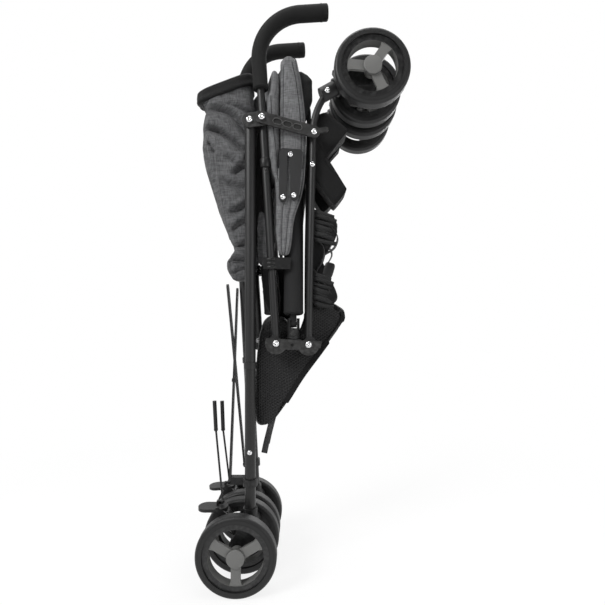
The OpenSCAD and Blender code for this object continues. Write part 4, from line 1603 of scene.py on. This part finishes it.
@dataclass
class Hood:
    """The folded hood: two pleats from side to side, tails beside the bumper and a black lining."""

    near: float = 61.4
    left_offset: float = -44.0
    rear_top: float = 985.0
    front_top: float = 1013.0
    foot: float = 776.0
    fold_depth: float = 5.0
    rear_left: Table = ((776, -48), (788, -57), (805, -64), (820, -66), (860, -69), (935, -73), (952, -64),
                        (985, -62))
    rear_right: Table = ((776, -43), (985, -44))
    front_left: Table = ((776, -42), (985, -41.5), (1004, -41.5), (1010, -40.5), (1013, -37.5))
    front_right: Table = ((776, 3.0), (800, 5.7), (854, 7.2), (911, 4.2), (969, -3.0), (990, -7.5),
                          (1004, -10.5), (1010, -12), (1013, -15))
    tail_left: Table = ((633, -41), (645, -47), (680, -51), (720, -50), (800, -46))
    tail_right: Table = ((633, -32), (637, -26), (650, -22.5), (664, -20.5), (690, -18), (710, -14),
                         (725, -9), (740, -4), (756, 0), (776, 3.5), (800, 5))

    def slant(self, y: np.ndarray) -> np.ndarray:
        """How far the hood stands back at each Y.

        Args:
            y: Places across the stroller.

        Returns:
            Shift along the stroller.
        """
        t = np.clip((y + 45) / 90, 0, 1)
        return self.left_offset * t * t * (3 - 2 * t)

    def pleat(self, skin: Skin, low: float, high: float, left: Table, right: Table, belly: float,
              crown: float) -> None:
        """Adds one pleat, a flat bag from side to side.

        Args:
            skin: Skin to add to.
            low: Height of its foot.
            high: Height of its top at the sides.
            left: Rear edge by height.
            right: Front edge by height.
            belly: How far its sides bulge.
            crown: How far its top rises from the edges to the middle of its width.
        """
        face, flank, rings = 22, 26, []
        for z in np.linspace(low, high, 80):
            x0, x1 = level(left, z), level(right, z)
            t = np.linspace(0, 1, face)
            bulge = belly * (1 - np.abs(2 * t - 1) ** 2.6)
            near = np.stack([x0 + (x1 - x0) * t, -(self.near - belly) - bulge], axis=1)
            far = near[::-1] * (1, -1)
            y = np.linspace(near[-1, 1], far[0, 1], flank + 2)[1:-1]
            ahead = np.stack([np.full(flank, x1), y], axis=1)
            back = np.stack([np.full(flank, x0), y[::-1]], axis=1)
            ring = np.vstack([near, ahead, far, back])
            waves = ripple(np.column_stack([ring * (0.7, 0.35), np.full(len(ring), z * 0.35)]), 15.0)
            ring[:, 0] += self.slant(ring[:, 1]) + 0.9 * waves
            sag = 5.0 * (1 - (np.abs(ring[:, 1]) / self.near) ** 2) * max(0.0, (z - 860) / 150)
            along = (ring[:, 0] - self.slant(ring[:, 1]) - x0) / max(x1 - x0, 1)
            lift = crown * (1 - np.abs(2 * along - 1) ** 2)
            up = lift * max(0.0, (z - high + 40) / 40) - sag
            ring[:, 1] += np.sign(ring[:, 1]) * np.minimum(0, 1.1 * waves - 0.4)
            rings.append(np.column_stack([ring, z + up]))
        skin.loft(np.array(rings))

    def tail(self, skin: Skin, side: Side) -> None:
        """Adds the flat tail that hangs beside the bumper.

        Args:
            skin: Skin to add to.
            side: Side frame.
        """
        shift = self.left_offset if side is Side.LEFT else 0.0
        rings = []
        for z in np.linspace(633, 800, 60):
            x0, x1 = level(self.tail_left, z), level(self.tail_right, z)
            t = np.linspace(0, 1, 60)
            edge = np.abs(2 * t - 1) ** 6
            rolls = np.abs(np.sin(math.pi * (3.0 * t + 0.12 * np.sin(z / 23.0)))) ** 0.4
            sunk = self.fold_depth * (1 - rolls) * np.clip((806 - z) / 40, 0, 1)
            near = self.near - 0.4 - 1.2 * edge - sunk
            back = self.near - 4.4 + 1.2 * edge - sunk
            x = x0 + (x1 - x0) * t + shift
            ring = np.vstack([np.column_stack([x, near]), np.column_stack([x, back])[::-1]])
            rings.append(np.column_stack([ring[:, 0], side.value * ring[:, 1], np.full(len(ring), z)]))
        skin.loft(np.array(rings))

    def inner_tail(self, skin: Skin) -> None:
        """Adds the pleat that hangs down inside, behind the bumper.

        Args:
            skin: Skin to add to.
        """
        rings = []
        for z in np.linspace(634, 790, 50):
            thick = np.interp(z, (634, 660, 790), (2.4, 4.2, 7.0))
            y = np.linspace(-self.near + 4.5, -9.0, 24)
            x = -44 - np.interp(z, (634, 700, 790), (-2, 3, 5)) + 1.6 * np.sin(y / 5.0 + z / 40)
            ring = np.vstack([np.column_stack([x + thick / 2, y]), np.column_stack([x - thick / 2, y])[::-1]])
            rings.append(np.column_stack([ring, np.full(len(ring), z)]))
        skin.loft(np.array(rings))

    def lining(self) -> bpy.types.Object:
        """Makes the black lining in front of the front pleat.

        Returns:
            The piece.
        """
        left = ((905, -2), (960, -6), (992, -10))
        right = ((905, 12), (922, 17), (940, 22), (975, 22.5), (985, 14), (992, 2))
        rings = []
        for z in np.linspace(905, 992, 40):
            x0, x1 = level(left, z), level(right, z)
            y = np.linspace(-50, 50, 40)
            bow = 3.0 * (1 - (y / 50) ** 2)
            front = np.column_stack([np.full(40, x1) + bow - 3, y])
            back = np.column_stack([np.full(40, x0), y])[::-1]
            ring = np.vstack([front, back])
            wave = ripple(np.column_stack([ring * 0.5, np.full(80, z)]), 24.0)
            ring[:, 0] += self.slant(ring[:, 1]) + 1.2 * wave
            rings.append(np.column_stack([ring, np.full(80, z)]))
        return Skin().loft(np.array(rings)).build("hood_lining")

    def piping(self) -> bpy.types.Object:
        """Makes the piped front edges and the stitched lines beside them.

        Returns:
            The piece.
        """
        skin = Skin()
        for side in Side:
            shift = self.left_offset if side is Side.LEFT else 0.0
            y = side.value * (self.near - 1.6)
            edge = [(x + shift, y, z) for z, x in self.tail_right] + [
                (x + shift, side.value * (self.near - 4.2), z) for z, x in self.front_right[2:]]
            skin.tube(curve_through(edge, 120), 1.25, 8)
        return skin.build("hood_piping")

    def stitches(self, surface: Surface) -> bpy.types.Object:
        """Makes the stitched lines inside the front band's edges and across the rear pleat.

        Args:
            surface: The hood's outside.

        Returns:
            The piece.
        """
        inner = [(x - 8.7, z) for z, x in self.front_right[:-2]]
        band = [(x + 5.0, z) for z, x in ((790, -42), (860, -41.6), (930, -41.3), (985, -41), (998, -40))]
        pleat = [(-46, 800), (-52, 850), (-58, 905), (-60, 940)]
        skin = Skin()
        for line in (inner, band, pleat):
            sew(skin, surface, line, Side.RIGHT, (0.7, 0.35, 8), 70, 0.1)
        return skin.build("hood_stitches")

    def build(self) -> None:
        """Makes the pleats, tails, lining, stitches and piping."""
        skin = Skin()
        self.pleat(skin, self.foot, self.rear_top, self.rear_left, self.rear_right, 15.0, 2.0)
        self.pleat(skin, self.foot, self.front_top, self.front_left, self.front_right, 7.0, 1.5)
        for side in Side:
            self.tail(skin, side)
        self.inner_tail(skin)
        hood = WARDROBE.dress(skin.build("hood_cloth"), HOOD_CLOTH)
        lining = WARDROBE.dress(self.lining(), LINING)
        piping = WARDROBE.dress(self.piping(), GREY_SEAM)
        stitches = WARDROBE.dress(self.stitches(Surface(hood)), STITCH)
        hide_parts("hood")
        for piece, slot in ((hood, "grey_cloth"), (lining, "black_cloth"), (piping, "grey_cloth"),
                            (stitches, "grey_cloth")):
            spanning(piece, 62.0, slot)


@dataclass
class Bundle:
    """Gathered cloth: a side outline, drawn in at its ends, narrowed ahead of nose_at and wrinkled."""

    name: str
    outline: tuple[Point, ...]
    y0: float
    y1: float
    draw: float
    wrinkle: float
    scale: float
    finish: Finish
    corner: float = 0.0
    nose: float = 0.0
    nose_at: float = 0.0

    def skin(self, place: Callable[[Point], Point] = lambda p: p, flip: bool = False) -> Skin:
        """The bundle's skin.

        Args:
            place: Moves a point of the side plane to its side.
            flip: Whether it is mirrored to the left side.

        Returns:
            The skin.
        """
        edge = crisp(self.outline, self.corner) if self.corner else rounded(self.outline, 3)
        edge = resampled(edge, 150, closed=True)
        middle = edge.mean(0)
        steps, rings = 34, []
        for t in np.linspace(0, 1, steps):
            end = abs(2 * t - 1) ** 6
            flat = middle + (1 - self.draw * end) * (edge - middle)
            narrow = 1 - self.nose * np.clip(flat[:, 0] - self.nose_at, 0, None)
            y = (self.y0 + t * (self.y1 - self.y0)) * narrow
            p = np.column_stack([flat[:, 0], y, flat[:, 1]])
            pull = self.wrinkle * (0.35 + np.abs(ripple(p * (1.0, 0.45, 1.0), self.scale)))
            away = (middle - flat) / np.linalg.norm(middle - flat, axis=1, keepdims=True)
            flat = flat + away * pull[:, None]
            flat = np.array([place(tuple(q)) for q in flat])
            rings.append(np.column_stack([flat[:, 0], -y if flip else y, flat[:, 1]]))
        return Skin().loft(self.capped(np.array(rings)))

    def capped(self, stack: np.ndarray) -> np.ndarray:
        """Rounds both ends with rings that close towards their middles.

        Args:
            stack: Rings of the bundle.

        Returns:
            The rings with their ends added.
        """
        first, last = [], []
        for share in (0.85, 0.6, 0.35, 0.12):
            for ring, out in ((stack[0], first), (stack[-1], last)):
                middle = ring.mean(0)
                inner = middle + share * (ring - middle)
                sink = (1 - share) * 2.2 + 1.2 * np.abs(ripple(inner, 22.0))
                inner[:, 1] += np.sign(stack[:, :, 1].mean() - ring[0, 1]) * sink
                out.append(inner)
        return np.concatenate([np.array(first[::-1]), stack, np.array(last)])

    def build(self, side: Side | None = None) -> bpy.types.Object:
        """Makes the dressed piece.

        Args:
            side: Side frame for a piece of the front legs, or None for one in the drawing's place.

        Returns:
            The piece.
        """
        name = self.name if side is None else f"{self.name}_{side.word}"
        if side is Side.LEFT:
            skin = self.skin(lambda p: LAYOUT.place(side, Link.FRONT, p), flip=True)
        else:
            skin = self.skin()
        obj = WARDROBE.dress(skin.build(name), self.finish)
        return obj


def ribbon(skin: Skin, path: np.ndarray, across: np.ndarray, width: float, thick: float) -> None:
    """Adds a flat strap with rounded edges.

    Args:
        skin: Skin to add to.
        path: Middle line of the strap.
        across: Direction of its width, one for all points or one for each.
        width: Width in millimetres.
        thick: Thickness in millimetres.
    """
    across = np.broadcast_to(np.asarray(across, float), path.shape)
    ahead = unit(np.gradient(path, axis=0))
    across = unit(across - ahead * (across * ahead).sum(1, keepdims=True))
    out = np.cross(ahead, across)
    a = around(20)
    outline = np.stack([width / 2 * squared(np.cos(a), 0.3), thick / 2 * squared(np.sin(a), 0.6)], axis=1)
    skin.sweep(path, across, out, outline)


@dataclass
class Basket:
    """The shopping net under the seat, folded flat, with its bound edges and a webbing tab."""

    half_width: float = 39.3
    narrowing: float = 0.0047
    narrow_from: float = -25.0
    reach: float = 92.0
    outline: tuple[Point, ...] = ((-92, 466), (-76, 520), (-34, 522), (-20, 492), (6, 494), (10, 546),
                                  (48, 552), (83, 537), (92, 520), (79, 499), (-50, 316), (-66, 298),
                                  (-92, 294), (-97, 330))
    hem: tuple[Point, ...] = ((84, 530), (86, 520), (77, 500), (40, 447), (0, 390), (-40, 332), (-56, 309))
    brim: tuple[Point, ...] = ((-20, 490), (6, 493), (12, 544), (46, 550), (80, 534))

    def build(self) -> None:
        """Makes the net, whose front narrows to clear the bumper when open, its bindings and its tabs."""
        net = Bundle("basket_net", self.outline, -self.half_width, self.half_width, 0.05, 3.2, 55.0, NET,
                     nose=self.narrowing, nose_at=self.narrow_from).build()
        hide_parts("basket")
        spanning(net, self.reach, "basket_mesh")
        surface, binding = Surface(net), Skin()
        middle = np.array((-10.0, 420.0))
        for side in Side:
            for line, width in ((self.hem, 11.0), (self.brim, 8.0)):
                inward = [p + 5.5 * (middle - p) / np.linalg.norm(middle - p) for p in np.array(line, float)]
                path, normals = surface.path(curve_through(inward, 70), side, 0.5)
                ribbon(binding, path, np.cross(np.gradient(path, axis=0), normals), width, 1.4)
        bound = WARDROBE.dress(binding.build("basket_binding"), BLACK_CLOTH)
        spanning(bound, self.reach, "black_cloth")
        tab = Skin()
        for side in Side:
            y = side.value * 33.0
            line = [(-58, y, 316), (-62, y, 300), (-66, y, 284), (-71, y, 264), (-75, y, 245)]
            ribbon(tab, curve_through(line, 40), (1.0, 0.0, 0.3), 12.0, 1.8)
        tabs = WARDROBE.dress(tab.build("basket_tabs"), GREY_WEBBING)
        spanning(tabs, self.reach, "grey_cloth")


@dataclass
class Seat:
    """The folded seat cloth between the push tubes, with the lining and folds that hang above it."""

    outline: tuple[Point, ...] = ((-81, 632), (-62, 636), (-44, 596), (-41, 522), (-52, 502), (-64, 516),
                                  (-82, 566))
    lining: tuple[Point, ...] = ((-93, 630), (-53, 634), (-54, 700), (-60, 790), (-66, 850), (-74, 886),
                                 (-90, 890), (-94, 760))
    fold: tuple[Point, ...] = ((-66, 640), (-36, 638), (-24, 600), (-18, 540), (-26, 500), (-66, 496))
    grey: tuple[Point, ...] = ((-88, 722), (-74, 726), (-68, 690), (-64, 650), (-68, 616), (-84, 610),
                               (-90, 652))

    def build(self) -> None:
        """Makes the seat cloth, its lining and its folds."""
        seat = Bundle("seat_cloth", self.outline, -42.4, -3.0, 0.06, 3.0, 22.0, BLACK_CLOTH).build()
        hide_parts("seat")
        lining = Bundle("seat_lining", self.lining, -40.0, -9.0, 0.02, 3.0, 26.0, BLACK_CLOTH).build()
        fold = Bundle("seat_fold", self.fold, -13.5, -5.0, 0.02, 2.0, 24.0, BLACK_CLOTH).build()
        grey = Bundle("seat_grey_fold", self.grey, -43.0, -38.5, 0.02, 4.0, 14.0, GREY_CLOTH).build()
        for piece in (seat, lining, fold):
            spanning(piece, -4.0, "black_cloth")
        spanning(grey, -4.0, "grey_cloth")


@dataclass
class LegRest:
    """The calf cloth, in two halves between the front legs."""

    outline: tuple[Point, ...] = ((20, 905), (46, 916), (92, 880), (40, 824), (90, 764), (64, 730), (20, 790))

    def build(self) -> None:
        """Makes both halves."""
        for side in Side:
            cloth = Bundle("leg_rest_cloth", self.outline, -48.0, -4.2, 0.0, 1.2, 40.0, BLACK_CLOTH,
                           corner=4.0).build(side)
            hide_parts(f"leg_rest_{side.word}")
            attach(cloth, f"front_{side.word}")
            LOG.info("%s rides on front_%s", cloth.name, side.word)


@dataclass
class Harness:
    """The gathered harness: a pad, webbing loops and a buckle."""

    outline: tuple[Point, ...] = ((12, 727), (58, 724), (74, 702), (70, 672), (50, 650), (38, 620), (52, 586),
                                  (76, 552), (60, 534), (12, 524))
    loops: tuple[tuple[tuple[float, float, float], ...], ...] = (
        ((36, -40, 700), (58, -43, 690), (70, -40, 672), (64, -34, 652), (46, -30, 640)),
        ((30, -44, 668), (44, -46, 648), (40, -46, 622), (30, -44, 604), (34, -42, 580)),
        ((52, -24, 660), (60, -22, 640), (48, -24, 618), (36, -28, 606)),
        ((22, -46, 610), (40, -45, 588), (56, -42, 566), (66, -38, 552)))
    flap: tuple[Point, ...] = ((4.6, 500), (14, 500), (16, 640), (18, 840), (18, 925), (9, 928), (9, 850),
                               (7, 760), (5.2, 640))
    gathers: tuple[tuple[float, float, float, int], ...] = ((716, 664, 62, 7), (594, 540, 56, 7))

    def build(self) -> None:
        """Makes the pad, its gathers and loops and the buckle."""
        pad = Bundle("harness_pad", self.outline, -48.0, -6.0, 0.06, 6.0, 20.0, BLACK_CLOTH).build()
        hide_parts("harness")
        straps = Skin()
        for k, loop in enumerate(self.loops):
            ribbon(straps, curve_through(loop, 60), (0.25, 1.0, 0.15 * k), 15.0, 1.8)
        for top, foot, reach, count in self.gathers:
            for k, z in enumerate(np.linspace(top, foot, count)):
                start = (16 + 3 * math.sin(2.1 * k), -44.0, z + 7)
                end = (reach + 5 * math.sin(1.3 * k), -43.0, z - 6)
                middle = ((16 + reach) / 2, -48.5, z + 2.5 * math.sin(1.7 * k))
                straps.tube(curve_through((start, middle, end), 30), 4.6 + 0.8 * math.sin(2.7 * k), 12)
        webbing = WARDROBE.dress(straps.build("harness_webbing"), WEBBING)
        flap = Bundle("harness_flap", self.flap, -44.0, -12.0, 0.0, 0.8, 30.0, BLACK_CLOTH,
                      corner=3.0).build()
        buckle = WARDROBE.dress(self.buckle().build("harness_buckle"), BLACK_PLASTIC)
        for piece, slot in ((pad, "black_cloth"), (webbing, "black_cloth"), (flap, "black_cloth"),
                            (buckle, "black_plastic")):
            spanning(piece, 276.0, slot)

    @staticmethod
    def buckle() -> Skin:
        """The side-release buckle's skin.

        Returns:
            The skin.
        """
        a = around(36)
        rings = []
        for d, s in ((-4.5, 0.75), (-3.6, 0.94), (-2.0, 1.0), (2.0, 1.0), (3.6, 0.94), (4.5, 0.75)):
            u, v = 11.0 * s * squared(np.cos(a), 0.5), 15.0 * s * squared(np.sin(a), 0.5)
            rings.append(np.column_stack([52 + 0.9 * u + 0.3 * v, np.full(36, -44.5 + d),
                                          606 + v - 0.25 * u]))
        return Skin().loft(np.array(rings))


@dataclass
class Studio:
    """A pale floor, soft lamps and the photo's camera."""

    distance: float = 842.0
    height: float = 503.0
    focal_px: float = 407.0
    image_px: float = 605.0
    centre_px: tuple[float, float] = (302.0, 323.0)
    sensor: float = 36.0
    ambient: float = 0.36
    front_glow: float = 0.16

    def camera(self) -> None:
        """Makes the camera at the photo's place."""
        data = bpy.data.cameras.new("camera")
        data.sensor_width = self.sensor
        data.lens = self.focal_px / self.image_px * self.sensor
        data.shift_x = (self.image_px / 2 - self.centre_px[0]) / self.image_px
        data.shift_y = (self.centre_px[1] - self.image_px / 2) / self.image_px
        data.clip_start, data.clip_end = 0.01, 60.0
        camera = bpy.data.objects.new("camera", data)
        camera.location = (CENTRE_X * MM, -self.distance * MM, self.height * MM)
        camera.rotation_euler = (math.pi / 2, 0.0, 0.0)
        bpy.context.scene.collection.objects.link(camera)
        bpy.context.scene.camera = camera

    def floor(self) -> None:
        """Makes the floor, which is white to the camera apart from its shadow."""
        mesh = bpy.data.meshes.new("floor")
        r = 9.0
        mesh.from_pydata([(-r, -r, 0), (r, -r, 0), (r, r, 0), (-r, r, 0)], [], [(0, 1, 2, 3)])
        floor = bpy.data.objects.new("floor", mesh)
        bpy.context.scene.collection.objects.link(floor)
        material = bpy.data.materials.new("pale_floor")
        material.use_nodes = True
        g = Graph(material.node_tree)
        shader = material.node_tree.nodes["Principled BSDF"]
        shader.inputs["Base Color"].default_value = (0.92, 0.92, 0.92, 1.0)
        shader.inputs["Roughness"].default_value = 0.9
        shader.inputs["Specular IOR Level"].default_value = 0.1
        glow = g.node("Emission", Color=(1.0, 1.0, 1.0, 1.0), Strength=1.0)
        mixed = g.node("MixShader")
        reach = g.node("VectorMath", operation="LENGTH")
        g.link(g.node("TexCoord").outputs["Object"], reach.inputs[0])
        g.link(g.math("MULTIPLY", self.seen(g), g.span(reach.outputs["Value"], 0.25, 1.3, 0.82, 1.0)),
               mixed.inputs[0])
        g.link(shader.outputs[0], mixed.inputs[1])
        g.link(glow.outputs[0], mixed.inputs[2])
        g.link(mixed.outputs[0], material.node_tree.nodes["Material Output"].inputs[0])
        mesh.materials.append(material)

    @staticmethod
    def seen(g: Graph) -> bpy.types.NodeSocket:
        """One where the camera or a reflection looks, and nothing for the light itself.

        Args:
            g: Graph of the material or world.

        Returns:
            The value.
        """
        path = g.node("LightPath").outputs
        most = g.math("MAXIMUM", path["Is Camera Ray"], path["Is Glossy Ray"])
        return g.math("MAXIMUM", most, path["Is Transmission Ray"])

    def world(self) -> None:
        """Makes a soft surround: white behind the object, and dimmer on the camera's side of the room."""
        world = bpy.data.worlds.new("studio")
        world.use_nodes = True
        bpy.context.scene.world = world
        g = Graph(world.node_tree)
        back = world.node_tree.nodes["Background"]
        back.inputs["Color"].default_value = (1.0, 1.0, 1.0, 1.0)
        parts = g.node("SeparateXYZ")
        g.link(g.node("TexCoord").outputs["Generated"], parts.inputs[0])
        room = g.span(parts.outputs[1], -0.3, 0.4, self.front_glow, 1.0)
        lit = g.span(self.seen(g), 0.0, 1.0, self.ambient, room)
        g.link(g.span(g.node("LightPath").outputs["Is Camera Ray"], 0.0, 1.0, lit, 1.0),
               back.inputs["Strength"])

    def lamps(self) -> None:
        """Makes the soft boxes."""
        aim = Vector((0.0, 0.0, 0.6))
        for name, place, size, power in (
                ("key", (-1.5, -1.5, 2.0), 0.8, 46.0), ("fill", (1.6, -1.4, 0.9), 0.8, 11.0),
                ("top", (0.1, -0.2, 2.6), 1.2, 22.0), ("back", (0.9, 1.8, 1.5), 1.2, 16.0)):
            data = bpy.data.lights.new(name, "AREA")
            data.energy, data.size = power, size
            lamp = bpy.data.objects.new(name, data)
            lamp.location = place
            lamp.rotation_euler = (aim - Vector(place)).to_track_quat("-Z", "Y").to_euler()
            bpy.context.scene.collection.objects.link(lamp)

    def build(self) -> None:
        """Makes the whole studio."""
        self.camera()
        self.floor()
        self.world()
        self.lamps()
        bpy.context.scene.view_settings.view_transform = "Standard"


def main() -> None:
    """Builds the stroller's pieces in order."""
    logging.basicConfig(level=logging.INFO, format="%(name)s: %(message)s")
    for part in (Studio(), FrameDress(), Wheels(), Rivets(), LatchTrim(), Handles(), BumperTrim(), Backrest(),
                 Hood(), Seat(), Basket(), LegRest(), Harness()):
        (part.dress if hasattr(part, "dress") else part.build)()
        LOG.info("%s is in place", type(part).__name__)


if __name__ == "__main__":
    main()
